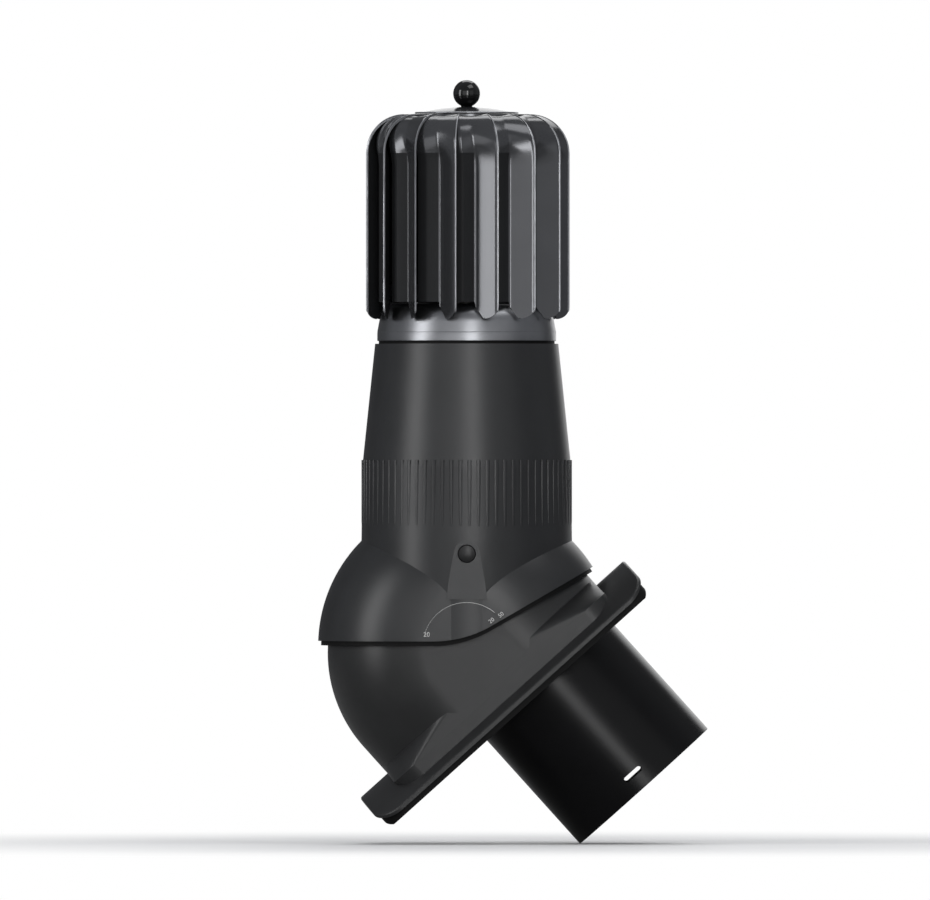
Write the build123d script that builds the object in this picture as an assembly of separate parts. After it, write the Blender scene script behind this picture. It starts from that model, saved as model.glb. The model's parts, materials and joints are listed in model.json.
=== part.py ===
"""Roof turbine ventilator on a pitched roof: a spinning bladed head on a tiltable stack.

Millimetres. +X points up the roof, +Z is up, and -Y faces the viewer.
The origin is where the duct spigot's axis crosses the plane on which the roof seal sits.
Pieces of the stack are drawn about the tilt axis and then moved to their place.
Pieces of the base are drawn in the roof's own plane: local X runs up the roof, local Z is square to it.
"""
from build123d import *
from math import cos, degrees, hypot, radians, sin, sqrt, tan
import os

# Roof and tilt
roof_pitch = 42.0          # slope of the roof in the pose that is drawn
tilt_to_shallow = 22.0     # how far the stack leans down the roof, for a roof of 20 degrees
tilt_to_steep = 3.0        # how far it leans up the roof, for a roof of 45 degrees
seat_depth = 72.8          # tilt axis to the roof seal's flat underside, square to the roof
spigot_offset = 32.7       # spigot axis up the roof from the tilt axis

# Fits
slide_fit = 0.04           # radial clearance of pins and stems that move
press_fit = 0.02           # radial clearance of pieces that are fixed together
face_gap = 0.2             # clearance between flat faces that slide past each other
swing_gap = 0.375          # from an arm to the dome's boss, as the stack swings
hole_fit = 0.2             # radial clearance of a screw or stem in its clearance hole
wall_share = 0.8           # most of a wall that a rounding or a screw may take up

# Ball joint: hood of the casing over the dome of the base
ball_flat = 38.8           # radius of the flat disc on each side of the ball
hood_bulge = 90.8          # radius of the rounding outside that disc, on the hood
casing_wall = 2.5
dome_bulge = 83.8          # the same rounding on the dome
dome_wall = 2.5
dome_shift_down = 3.3      # the dome's centre lies this far down the roof from the tilt axis
dome_shift_in = 5.7        # and this far towards the roof
dome_open_near = 125.0     # the dome's top opening, as angles up from the roof's uphill line
dome_open_far = 16.0
rim_height = 4.1           # level part of the hood's rim above the tilt axis
rim_rise = 30.0            # slope of the rest of the rim
rim_blend = 100.0          # radius between the two
rim_corner = -2.0          # where the two would meet

# Foot of the dome
foot_proud = 0.6           # how far the foot stands proud of the dome's wall
foot_corner = 24.0         # corner radius where it meets the plate
foot_blend_top = 30.0      # depth at which the rounded dome starts to turn into the squarer foot
foot_blend_end = 46.0

# Roof plate
plate_down = 158.2         # reach of the plate down the roof from the tilt axis
plate_up = 151.4
plate_half_width = 96.0
plate_corner = 22.0
plate_crest = 36.6         # depth of the plate's crest below the tilt axis
plate_arch = 180.0         # radius of the arch across the plate
plate_thickness = 3.0
plate_lip = 2.2            # rounding of the plate's upper edge

# Roof seal
seal_inset = 3.0
seal_thickness = 9.0
seal_play = 0.1
seal_hole_gap = 7.7        # room around the collar for a duct that is pushed over the spigot
seal_rail = 3.0            # least width of the seal beside that hole

# Duct spigot
spigot_radius = 75.0
spigot_wall = 1.5
spigot_length = 121.7      # from the seat to the open end
collar_wall = 3.0
collar_step = 1.0          # the collar stops this far above the seat
spigot_step = 2.0          # the spigot is swaged in by this much inside the collar
collar_lip = 2.5           # inward lip that stops the spigot
collar_lip_height = 5.0
spigot_bead = 0.5          # small chamfer at the open end
slot_length = 18.6
slot_width = 5.2
slot_from_end = 15.0
spigot_screw_count = 3
spigot_screw_radius = 1.7

# Stack casing, as radii and heights above the tilt axis
casing_low_radius = 91.8
casing_low_top = 91.1
casing_mid_radius = 91.0
casing_mid_top = 156.5
casing_top_radius = 79.9
casing_top = 263.1
casing_roof = 3.0
throat_radius = 63.0

# Button boss, called the ear
ear_plane = 92.4
ear_top_radius = 11.5
ear_foot_height = 41.0
ear_foot_left = 17.6
ear_foot_right = 17.8
ear_shoulder_height = 58.0
ear_shoulder = 15.6
button_height = 80.3
button_radius = 7.6
button_gap = 0.4
button_recess = 1.0
button_crown = 0.9
button_skirt = 7.5
button_room = 4.5          # depth of the hollow in the skirt
button_cap = 1.5           # from the button's face to the stem's end

# Lock
housing_wall = 2.5
housing_joint = 84.0       # depth at which the casing's boss ends and the housing starts
housing_end = 71.5
housing_floor = 2.0
stem_radius = 3.0
stem_head_radius = 8.0
stem_head = 3.0
spring_wire = 0.5
spring_radius = 5.2
spring_turns = 5

# Tilt arms and pins
arm_thickness = 3.0
arm_plane = 67.0           # outer face of each arm, from the middle
arm_half_width = 11.0
arm_eye_radius = 14.0
pin_radius = 5.0
pin_head_radius = 8.0
pin_head = 2.0
pin_depth = 13.5           # how far the pin reaches into the dome's boss
pin_boss_radius = 11.0

# Pitch sectors
sector_thickness = 2.5
sector_gap = 1.5           # arm to sector
sector_reach = 90.0
sector_foot_radius = 36.0
sector_eye_radius = 17.0
sector_margin = 9.0        # metal beyond the ends of the slot, in degrees
sector_screw_circle = 28.0
sector_screw_angles = (150.0, 240.0, 330.0)
sector_boss_radius = 5.0
lock_notch_start = 16.3    # the dome is cut back from this far below the button, to let the lock swing
lock_notch_margin = 15.0
sector_screw_length = 10.0

# Riser pipe and its flange
riser_radius = 75.0
riser_wall = 1.5
riser_foot = 115.0
riser_flange = 2.5
riser_top_gap = 0.3
flange_reach = 88.6
flange_screw_circle = 82.0
flange_screw_radius = 2.0
flange_screw_angles = (0.0, 84.0, 96.0, 180.0, 264.0, 276.0)
flange_boss_radius = 4.5
flange_boss_height = 12.0
flange_screw_bite = 8.4    # how far the flange's screws reach into their bosses
arm_screw_spread = 12.0    # screws this near the front or back, in degrees, go through an arm's foot
foot_reach = 87.5          # outer end of each arm's foot

# Insulation sleeve
sleeve_gap = 0.4

# Rubber seal inside the hood's rim
hood_seal_drop = 3.9
hood_seal_height = 8.0
hood_seal_thickness = 2.6
hood_seal_fit = 0.05

# Neck
gasket_thickness = 2.4
gasket_radius = 76.7
neck_radius = 78.0
neck_band = 7.9
neck_upper_radius = 76.4
neck_upper_height = 16.6
neck_mouth_radius = 66.0
neck_height = 32.0
neck_curve_radius = 74.2   # radius of the neck's curve at half its height
neck_curve_height = 27.0
neck_wall = 1.6
neck_flange = 2.5
neck_screw_circle = 70.5
neck_screw_radius = 2.0
neck_screw_count = 4
neck_screw_bite = 2.7      # how far the neck's screws reach into the casing

# Axle bracket
bracket_plate = 3.0
bracket_rim = 75.0
bracket_hole = 64.0
bracket_hub_radius = 14.0
bracket_hub_drop = 8.0
bracket_hub_rise = 12.0
bracket_arm_width = 6.0
bracket_arm_height = 8.0
bracket_arms = 4

# Axle, bearings and spacer
axle_radius = 6.0
axle_collar_radius = 9.0
axle_collar = 4.0
axle_bottom_thread = 12.0
nut_height = 6.0
nut_flats = 18.0
bearing_radius = 14.0
bearing_width = 8.0
bearing_inner_lip = 8.8
bearing_outer_lip = 11.2
ball_radius = 1.9
ball_count = 8
ball_play = 0.05
lower_bearing = 28.0       # lower bearing above the bracket's foot
upper_bearing = 33.0       # upper bearing below the rotor's top
spacer_wall = 2.4
axle_above_bearing = 12.0

# Rotor
blade_count = 15
first_blade = -6.0         # angle of the first blade's outer edge from the viewer, to the right
rotor_radius = 89.7
shoulder_radius = 34.0
rotor_shoulder = 144.5     # from the blades' lower end to where they start to curve in
blade_bottom = 19.0        # lower end of the blades above the neck's foot
blade_inner_bottom = 1.9   # lower end of their inner part above the neck's mouth
blade_corner = 11.3
blade_tab_inner = 79.5     # radius of the tab's inner corner
blade_step_radius = 72.5
blade_thickness = 1.2
flange_turn = 47.0         # how far each blade's flat flange is turned from the radius
bend_angle = 12.4          # from the outer edge to the bend, seen from the axle
inner_edge_angle = 20.4
inner_edge_radius = 79.0
bend_softness = 1.4        # half the angle over which the bend is rounded

# Crown, cap and finial
crown_sheet = 1.2
crown_skirt = 18.0
crown_gap = 0.05
cap_radius = 45.3
cap_rise = 6.3
cap_sheet = 1.2
finial_radius = 11.86
finial_neck = 0.15         # least gap between the ball and the cap
finial_neck_radius = 4.8
finial_stud_radius = 3.0
finial_stud = 12.5
finial_nut_flats = 10.0
finial_nut_height = 5.0

# Rotor hub and lower ring
hub_wall = 3.0
hub_flange_radius = 30.0
hub_flange = 3.5
hub_screw_circle = 24.0
hub_screw_radius = 1.5
hub_screw_count = 4
ring_height = 5.5          # lower ring above the neck's mouth
ring_sheet = 1.6
ring_skirt = 10.0
ring_width = 6.0
ring_spokes = 5
ring_spoke_width = 8.0
ring_collar_wall = 3.0

# Screw heads
head_ratio = 1.9           # head radius over shank radius
head_height_ratio = 1.2    # head height over shank radius

# Worked out from the sizes above
crown_radius = rotor_radius - shoulder_radius
slant = sqrt(0.5)          # sine and cosine of 45 degrees
far = 4 * (plate_down + plate_up)
uphill = Vector(cos(radians(roof_pitch)), 0, sin(radians(roof_pitch)))
outward = Vector(-sin(radians(roof_pitch)), 0, cos(radians(roof_pitch)))
tilt_axis = outward * seat_depth - uphill * spigot_offset
casing_inner_low = casing_low_radius - casing_wall
neck_base = casing_top + gasket_thickness
bracket_base = neck_base + neck_flange
ring_base = neck_base + neck_height + ring_height
blade_foot = neck_base + blade_bottom
blade_inner_foot = neck_base + neck_height + blade_inner_bottom
shoulder_height = blade_foot + rotor_shoulder
rotor_top = shoulder_height + shoulder_radius
lower_seat = bracket_base + lower_bearing
upper_seat = rotor_top - upper_bearing
sector_plane = arm_plane - arm_thickness - sector_gap
sector_inner = sector_plane - sector_thickness
neutral_lock = 90.0 - roof_pitch
lock_low = neutral_lock - tilt_to_steep
lock_high = neutral_lock + tilt_to_shallow
pieces = {}


def keep(name, shape, turn=0.0):
    """Put a piece, or a group of like pieces, in its place and remember it."""
    place = Pos(*tilt_axis) * Rot(0, turn, 0)
    if isinstance(shape, list):
        pieces[name] = Compound(children=[place * one for one in shape])
    else:
        pieces[name] = place * shape


def keep_on_roof(name, shape):
    """Turn a piece of the base from the roof's plane to its place and remember it."""
    keep(name, shape, -roof_pitch)


def disc(radius, bottom, top):
    """Upright cylinder."""
    return Pos(0, 0, bottom) * extrude(Circle(radius), top - bottom)


def tube(outer, inner, bottom, top):
    """Upright tube."""
    return disc(outer, bottom, top) - disc(inner, bottom, top)


def cross_disc(radius, x, z, start, end):
    """Cylinder along Y from one depth to another."""
    low, high = min(start, end), max(start, end)
    return Pos(x, high, z) * Rot(90, 0, 0) * extrude(Circle(radius), high - low)


def turned(points):
    """Solid turned about Z from an outline of (radius, height) points."""
    return revolve(make_face(Plane.XZ * Polyline(*points, close=True)), Axis.Z)


def slab(points):
    """Solid with an outline of (x, z) points that runs right across the object."""
    return extrude(make_face(Plane.XZ * Polyline(*points, close=True)), far, both=True)


def around(shape, count, start=0.0):
    """Copies of a shape turned about Z."""
    return [Rot(0, 0, start + 360 / count * i) * shape for i in range(count)]


def union(shapes):
    """One solid from many that meet."""
    whole = shapes[0]
    for shape in shapes[1:]:
        whole = whole + shape
    return whole


def screw(radius, length):
    """Pan-head screw along Z: the head sits on z = 0 and the shank runs down."""
    head = disc(radius * head_ratio, 0, radius * head_height_ratio)
    return head + disc(radius, -length, 0)


def hexagon(flats, bottom, top):
    """Hexagonal prism."""
    return Pos(0, 0, bottom) * extrude(RegularPolygon(flats / 2, 6, major_radius=False), top - bottom)


def nut(flats, bore, bottom, top):
    """Hexagonal nut."""
    return hexagon(flats, bottom, top) - disc(bore, bottom, top)


def ball_form(bulge):
    """Body turned about Y, with flat sides and a rounded rim."""
    middle = ThreePointArc(
        (ball_flat, bulge), (ball_flat + bulge, 0), (ball_flat, -bulge)
    )
    sides = [Line((0, -bulge), (0, bulge)), Line((0, bulge), (ball_flat, bulge))]
    sides += [middle, Line((ball_flat, -bulge), (0, -bulge))]
    return revolve(make_face(Wire(sides)), Axis.Y)


def below_rim(drop):
    """Everything under the hood's rim, or under a line parallel to it."""
    slope = tan(radians(rim_rise))
    level = rim_height - drop
    reach = rim_blend * tan(radians(rim_rise / 2))
    start = (rim_corner - reach, level)
    end = (
        rim_corner + reach * cos(radians(rim_rise)),
        level + reach * sin(radians(rim_rise)),
    )
    half = radians(rim_rise / 2)
    middle = (start[0] + rim_blend * sin(half), level + rim_blend * (1 - cos(half)))
    right = (far, level + (far - rim_corner) * slope)
    outline = [
        Line((-far, level), start),
        ThreePointArc(start, middle, end),
        Line(end, right),
        Line(right, (far, -far)),
        Line((far, -far), (-far, -far)),
        Line((-far, -far), (-far, level)),
    ]
    return extrude(Plane.XZ * make_face(Wire(outline)), far, both=True)


def dome_place(shape, depth):
    """Move a plan outline under the dome's centre, to a depth below the tilt axis."""
    return Pos(-dome_shift_down, 0, -depth) * shape


def dome_solid(inset):
    """Outside of the dome, or its inside when inset by the wall."""
    bulge = dome_bulge - inset
    half = ball_flat + bulge
    ball = dome_place(ball_form(bulge), dome_shift_in)
    upper = ball - dome_place(extrude(Rectangle(2 * far, 2 * far), -far), dome_shift_in)
    wall = dome_place(extrude(SlotOverall(2 * half, 2 * bulge), dome_shift_in - seat_depth), dome_shift_in)
    waist_plan = RectangleRounded(
        2 * (half - foot_proud), 2 * (bulge - foot_proud), bulge - 2 * foot_proud
    )
    foot_plan = RectangleRounded(2 * (half + foot_proud), 2 * (bulge + foot_proud), foot_corner - inset)
    waist = dome_place(waist_plan, foot_blend_top)
    foot = dome_place(foot_plan, foot_blend_end)
    base = extrude(foot, foot_blend_end - seat_depth)
    return union([upper, wall, loft([waist, foot]), base])


def arch(radius_change):
    """Long cylinder that carries the arch of the roof plate."""
    centre = -plate_crest - plate_arch
    return Pos(0, 0, centre) * Rot(0, 90, 0) * Cylinder(plate_arch - radius_change, 2 * far)


def plate_plan(inset):
    """Outline of the roof plate, seen square to the roof."""
    length = plate_down + plate_up - 2 * inset
    width = 2 * (plate_half_width - inset)
    plan = RectangleRounded(length, width, plate_corner - inset)
    middle = (plate_up - plate_down) / 2
    return Pos(middle, 0, -plate_crest - plate_arch) * extrude(plan, far)


def spigot_place(shape):
    """Move a piece from the origin to the spigot's axis."""
    return Pos(spigot_offset, 0, 0) * shape


def make_base():
    """Dome with its roof plate and spigot collar, in one moulding."""
    shell = dome_solid(0) - dome_solid(dome_wall)
    middle = radians((dome_open_near + dome_open_far) / 2)
    half = radians((dome_open_near - dome_open_far) / 2)
    opening = (ball_flat + dome_bulge) * cos(half)
    lid = Rot(0, -degrees(middle) + 90, 0) * Pos(0, 0, opening)
    shell = shell - lid * extrude(Rectangle(2 * far, 2 * far), far)
    shell = shell - sector_fan(
        button_height - lock_notch_start, far,
        lock_low - lock_notch_margin, lock_high + lock_notch_margin, far
    )
    outer_arch = arch(0)
    plate = (outer_arch - arch(plate_thickness)) & plate_plan(0)
    rim = [e for e in plate.edges() if on_plate_top(e)]
    plate = fillet(rim, min(plate_lip, plate_thickness * wall_share))
    bore = collar_bore()
    hollow = disc(bore - collar_lip, -far, 0)
    collar_bottom = -seat_depth + collar_step
    collar_top = -plate_crest - plate_thickness / 2
    collar = tube(bore + collar_wall, bore, collar_bottom, collar_top)
    lip = tube(bore + collar_wall, bore - collar_lip, collar_top - collar_lip_height, collar_top)
    inside = arch(plate_thickness / 2)
    collar = spigot_place(collar + lip)
    shell = shell - arch(plate_thickness / 2)
    body = shell + plate - spigot_place(hollow)
    body = body - spigot_place(disc(bore, -far, collar_top - collar_lip_height)) + collar
    for drill in spigot_screw_holes(spigot_screw_radius):
        body = body - (spigot_place(drill) & spigot_place(disc(bore + collar_wall, -far, 0)))
    for side in (-1, 1):
        body = body + dome_bosses(side)
    for side in (-1, 1):
        bore_end = side * (arm_plane + pin_depth + slide_fit)
        body = body - cross_disc(pin_radius + slide_fit, 0, 0, side * arm_plane, bore_end)
    for one in make_sector_screws():
        body = body - one
    return body


def on_plate_top(edge):
    """True for an edge of the plate's upper, outer outline."""
    spot = edge @ 0.5
    height = spot.Z + plate_crest + plate_arch
    return abs(hypot(spot.Y, height) - plate_arch) < plate_thickness / 10


def sector_fan(inner, outer, start, end, half_depth):
    """Ring sector around the tilt axis, angles up from the uphill line, in the roof's plane."""
    turns = [radians(start), radians((start + end) / 2), radians(end)]
    out = [(outer * cos(turn), outer * sin(turn)) for turn in turns]
    back = [(inner * cos(turn), inner * sin(turn)) for turn in reversed(turns)]
    wire = [ThreePointArc(*out), Line(out[-1], back[0]), ThreePointArc(*back), Line(back[-1], out[0])]
    return extrude(Plane.XZ * make_face(Wire(wire)), half_depth, both=True)


def sector_screw_spots():
    """Middles of the pitch sectors' screws, in the roof's plane."""
    turns = [radians(angle) for angle in sector_screw_angles]
    return [(sector_screw_circle * cos(turn), sector_screw_circle * sin(turn)) for turn in turns]


def dome_bosses(side):
    """Bosses inside the dome for one tilt pin and one pitch sector."""
    outer = side * (dome_bulge - dome_wall / 2)
    bosses = [cross_disc(pin_boss_radius, 0, 0, side * (arm_plane + swing_gap), outer)]
    for x, z in sector_screw_spots():
        bosses.append(cross_disc(sector_boss_radius, x, z, side * sector_plane, outer))
    return union(bosses)


def collar_bore():
    """Inner radius of the base's collar, around the spigot."""
    return spigot_radius - spigot_step + press_fit


def make_roof_seal():
    """Rubber skirt under the roof plate, arched like it, with two flat rails at the sides."""
    under = arch(plate_thickness + seal_play)
    block = under & plate_plan(seal_inset)
    block = block - arch(plate_thickness + seal_play + seal_thickness)
    block = block & (Pos(0, 0, -seat_depth) * extrude(Rectangle(2 * far, 2 * far), far))
    hole = spigot_place(disc(collar_bore() + collar_wall + seal_hole_gap, -far, far))
    return block - (hole & Box(2 * far, 2 * (plate_half_width - seal_inset - seal_rail), 2 * far))


def make_spigot():
    """Open duct end under the roof, with a keyhole slot on each side."""
    end = -seat_depth - spigot_length
    top = -plate_crest - plate_thickness / 2 - collar_lip_height - face_gap
    step = -seat_depth + collar_step - face_gap
    swaged = spigot_radius - spigot_step
    pipe = tube(spigot_radius, spigot_radius - spigot_wall, end, step)
    pipe = pipe + tube(spigot_radius, swaged - spigot_wall, step - spigot_wall, step)
    pipe = pipe + tube(swaged, swaged - spigot_wall, step - spigot_wall, top)
    outer_end = [
        e for e in pipe.edges()
        if abs(e.center().Z - end) < spigot_bead and e.radius > spigot_radius - spigot_wall / 2
    ]
    pipe = chamfer(outer_end, min(spigot_bead, spigot_wall / 2))
    slot = Pos(0, 0, end + slot_from_end) * Rot(90, 0, 0)
    slot = slot * extrude(SlotOverall(slot_length, slot_width), far, both=True)
    pipe = pipe - slot
    for drill in spigot_screw_holes(spigot_screw_radius):
        pipe = pipe - drill
    return spigot_place(pipe)


def spigot_screw_places():
    """Turns that carry a radial screw from +X to its place on the collar."""
    height = -seat_depth + collar_step + 2 * head_ratio * spigot_screw_radius
    turns = range(spigot_screw_count)
    return [Rot(0, 0, 360 / spigot_screw_count * i) * Pos(0, 0, height) for i in turns]


def spigot_screw_holes(radius):
    """Holes for the spigot's screws."""
    return [place * Rot(0, 90, 0) * disc(radius, 0, 2 * spigot_radius) for place in spigot_screw_places()]


def make_spigot_screws():
    """Screws driven outwards from inside the duct into the collar."""
    reach = spigot_wall + collar_wall * wall_share
    start = spigot_radius - spigot_step - spigot_wall - seal_play
    one = Pos(start, 0, 0) * Rot(0, -90, 0) * screw(spigot_screw_radius, reach)
    return [spigot_place(place * one) for place in spigot_screw_places()]


def make_sector(side):
    """Flat plate inside the dome with a curved slot, which the lock clamps."""
    fan = sector_fan(
        sector_foot_radius / 2, sector_reach, lock_low - sector_margin, lock_high + sector_margin, far
    )
    foot = cross_disc(sector_foot_radius, 0, 0, -far, far)
    eye = cross_disc(sector_eye_radius, 0, 0, -far, far)
    slot_half = stem_radius + hole_fit
    slot = sector_fan(
        button_height - slot_half, button_height + slot_half, lock_low, lock_high, far
    )
    ends = []
    for angle in (lock_low, lock_high):
        x = button_height * cos(radians(angle))
        z = button_height * sin(radians(angle))
        ends.append(cross_disc(slot_half, x, z, -far, far))
    drill = flange_screw_radius + hole_fit
    holes = [cross_disc(drill, x, z, -far, far) for x, z in sector_screw_spots()]
    plate = union([fan, foot]) - union([eye] + [slot] + ends) - union(holes)
    middle = side * (sector_plane + sector_inner) / 2
    slab_part = Pos(0, middle, 0) * Box(far, sector_thickness, far)
    return plate & slab_part


def make_sector_screws():
    """Screws that hold both pitch sectors on the dome's bosses."""
    found = []
    for side in (-1, 1):
        one = Rot(-90 * side, 0, 0) * Rot(180, 0, 0) * screw(flange_screw_radius, sector_screw_length)
        found += [Pos(x, side * sector_inner, z) * one for x, z in sector_screw_spots()]
    return found


def stack_form(inset):
    """Outside of the upright casing below its shoulder, or its inside."""
    return turned([
        (0, -hood_bulge),
        (casing_low_radius - inset, -hood_bulge),
        (casing_low_radius - inset, casing_low_top),
        (casing_mid_radius - inset, casing_mid_top),
        (casing_top_radius - inset, casing_top - (casing_roof if inset else 0)),
        (0, casing_top - (casing_roof if inset else 0)),
    ])


def ear_form():
    """Flat pad around the button that widens down to the flat disc of the hood."""
    top = button_height + ear_top_radius
    outline = [
        (-ear_foot_left, ear_foot_height - button_gap),
        (-ear_shoulder, ear_shoulder_height),
        (-ear_top_radius, button_height),
        (ear_top_radius, button_height),
        (ear_shoulder, ear_shoulder_height),
        (ear_foot_right, ear_foot_height - button_gap),
    ]
    pad = slab(outline) + cross_disc(ear_top_radius, 0, button_height, -far, far)
    return pad & Pos(0, 0, top / 2) * Box(far, 2 * ear_plane, top)


def make_casing():
    """Stack casing and hood in one moulding, with its bosses."""
    outside = stack_form(0) + ball_form(hood_bulge) + ear_form()
    inside = stack_form(casing_wall) + ball_form(hood_bulge - casing_wall)
    body = outside - inside - below_rim(0)
    body = body - disc(throat_radius, casing_mid_top, far)
    for side in (-1, 1):
        boss = cross_disc(
            button_radius + button_gap + housing_wall, 0, button_height,
            side * housing_joint, side * (ear_plane - casing_wall / 2)
        )
        hole = cross_disc(button_radius + button_gap, 0, button_height, 0, side * far)
        body = body + boss - hole
    top = riser_foot + riser_flange + flange_boss_height
    for place in flange_screw_turns():
        post = Pos(flange_screw_circle, 0, 0) * disc(flange_boss_radius, riser_foot + riser_flange, top)
        web_length = casing_inner_low - flange_screw_circle + casing_wall / 2
        web = Pos(flange_screw_circle + web_length / 2, 0, (riser_foot + riser_flange + top) / 2)
        web = web * Box(web_length, 2 * flange_boss_radius, flange_boss_height)
        body = body + place * (post + web)
    for one in make_flange_screws() + make_neck_screws():
        body = body - one
    return body


def make_hood_seal():
    """Rubber lip that follows the hood's rim on the inside."""
    outer = hood_bulge - casing_wall - hood_seal_fit
    ring = ball_form(outer) - ball_form(outer - hood_seal_thickness)
    return (ring & below_rim(-hood_seal_height)) - below_rim(hood_seal_drop)


def flange_screw_turns():
    """Turns that carry a piece from +X to each screw of the riser's flange."""
    return [Rot(0, 0, angle) for angle in flange_screw_angles]


def make_flange_screws():
    """Screws driven up through the riser's flange, two of each set through an arm's foot."""
    found = []
    for angle, turn in zip(flange_screw_angles, flange_screw_turns()):
        through_arm = abs(cos(radians(angle))) < sin(radians(arm_screw_spread))
        seat = riser_foot - (arm_thickness if through_arm else 0)
        length = riser_foot + riser_flange + flange_screw_bite - seat
        one = Pos(flange_screw_circle, 0, seat) * Rot(180, 0, 0) * screw(flange_screw_radius, length)
        found.append(turn * one)
    return found


def make_riser():
    """Inner pipe of the stack, with the flange that closes the insulated space."""
    top = casing_top - casing_roof - riser_top_gap
    pipe = tube(riser_radius, riser_radius - riser_wall, riser_foot, top)
    flange = tube(flange_reach, riser_radius - riser_wall, riser_foot, riser_foot + riser_flange)
    body = pipe + flange
    for one in make_flange_screws():
        body = body - one
    return body


def make_sleeve():
    """Insulation between the riser and the casing."""
    bottom = riser_foot + riser_flange + flange_boss_height + sleeve_gap
    top = casing_top - casing_roof - sleeve_gap
    block = stack_form(casing_wall + sleeve_gap) & disc(far, bottom, top)
    return block - disc(riser_radius + sleeve_gap / 2, 0, far)


def make_arm(side):
    """Strap that hangs from the riser's flange and carries one tilt pin."""
    inner = arm_plane - arm_thickness
    strap = Pos(0, 0, riser_foot / 2) * Box(2 * arm_half_width, far, riser_foot)
    strap = strap + cross_disc(arm_eye_radius, 0, 0, -far, far)
    strap = strap & Pos(0, side * (inner + arm_thickness / 2), 0) * Box(far, arm_thickness, far)
    foot_length = foot_reach - inner
    foot = Pos(0, side * (inner + foot_length / 2), riser_foot - arm_thickness / 2)
    foot = foot * Box(2 * arm_half_width, foot_length, arm_thickness)
    body = strap + foot
    body = body - cross_disc(pin_radius + press_fit, 0, 0, -far, far)
    body = body - cross_disc(stem_radius + slide_fit, 0, button_height, -far, far)
    for one in make_flange_screws():
        body = body - one
    return body


def make_pin(side):
    """Shouldered pin, fixed in an arm and running in the dome's boss."""
    inner = side * (arm_plane - arm_thickness)
    shank = cross_disc(pin_radius, 0, 0, inner, side * (arm_plane + pin_depth))
    return shank + cross_disc(pin_head_radius, 0, 0, inner - side * pin_head, inner)


def make_housing(side):
    """Cup behind the casing's boss that holds the button and its spring."""
    inner = button_radius + button_gap
    cup = cross_disc(inner + housing_wall, 0, button_height, side * housing_end, side * housing_joint)
    room = cross_disc(inner, 0, button_height, side * (housing_end + housing_floor), side * housing_joint)
    guide = cross_disc(stem_radius + slide_fit, 0, button_height, 0, side * far)
    return cup - room - guide


def button_face():
    """Depth of the button's rim in front of the tilt axis."""
    return ear_plane - button_recess


def make_button(side):
    """Round push button with a slightly domed face and a hollow skirt."""
    face = button_face()
    dome_ball = (button_radius ** 2 + button_crown ** 2) / (2 * button_crown)
    cap = revolve(make_face(Wire([
        Line((0, face - button_skirt), (button_radius, face - button_skirt)),
        Line((button_radius, face - button_skirt), (button_radius, face - button_crown)),
        ThreePointArc(
            (button_radius, face - button_crown),
            (button_radius / 2, face - dome_ball + sqrt(dome_ball ** 2 - button_radius ** 2 / 4)),
            (0, face),
        ),
        Line((0, face), (0, face - button_skirt)),
    ])), Axis.Y)
    room = Pos(0, face - button_skirt, 0) * Rot(90, 0, 0)
    room = room * extrude(Circle(button_radius - housing_wall / 2), button_room, both=True)
    socket = cross_disc(stem_radius + press_fit, 0, 0, 0, face - button_cap)
    post = cross_disc(stem_radius + housing_wall / 2, 0, 0, face - button_skirt, face - button_cap)
    body = cap - room + post - socket
    if side < 0:
        body = Rot(0, 0, 180) * body
    return Pos(0, 0, button_height) * body


def make_stem(side):
    """Stem fixed in the button, with the clamp head behind the pitch sector."""
    end = button_face() - button_cap - press_fit
    head = sector_inner - face_gap
    rod = cross_disc(stem_radius, 0, button_height, side * (head - stem_head), side * end)
    return rod + cross_disc(stem_head_radius, 0, button_height, side * (head - stem_head), side * head)


def make_spring(side):
    """Coil that pushes the button outwards."""
    low = housing_end + housing_floor + spring_wire + face_gap
    high = button_face() - button_skirt + button_room - spring_wire - face_gap
    path = Helix((high - low) / spring_turns, high - low, spring_radius)
    section = Plane(path @ 0, z_dir=path % 0) * Circle(spring_wire)
    coil = sweep(section, path)
    return Pos(0, side * low, button_height) * Rot(-90 * side, 0, 0) * coil


def make_gasket():
    """Dark ring between the casing and the neck."""
    body = tube(gasket_radius, throat_radius, casing_top, neck_base)
    for one in make_neck_screws():
        body = body - one
    return body


def make_neck():
    """Turned metal collar under the rotor."""
    outer = [
        (neck_radius, 0), (neck_radius, neck_band), (neck_upper_radius, neck_upper_height)
    ]
    mouth = (neck_mouth_radius, neck_height)
    curve = ThreePointArc(outer[-1], (neck_curve_radius, neck_curve_height), mouth)
    thin = (neck_mouth_radius - neck_wall, neck_height - neck_wall)
    inner_top = (neck_upper_radius - neck_wall, neck_upper_height)
    inner_curve = ThreePointArc(
        thin, (neck_curve_radius - neck_wall, neck_curve_height - neck_wall), inner_top
    )
    low = (neck_radius - neck_wall, neck_band)
    flange = (neck_radius - neck_wall, neck_flange)
    lip = (throat_radius, neck_flange)
    foot = (throat_radius, 0)
    wire = [
        Line(foot, outer[0]), Line(outer[0], outer[1]), Line(outer[1], outer[2]), curve,
        Line(mouth, thin), inner_curve, Line(inner_top, low), Line(low, flange),
        Line(flange, lip), Line(lip, foot),
    ]
    body = Pos(0, 0, neck_base) * revolve(Plane.XZ * make_face(Wire(wire)), Axis.Z)
    for one in make_neck_screws():
        body = body - one
    return body


def make_neck_screws():
    """Screws through the bracket's rim, the neck's flange and the gasket into the casing."""
    length = bracket_plate + neck_flange + gasket_thickness + neck_screw_bite
    one = Pos(neck_screw_circle, 0, bracket_base + bracket_plate) * screw(neck_screw_radius, length)
    return around(one, neck_screw_count, 180 / neck_screw_count)


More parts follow.
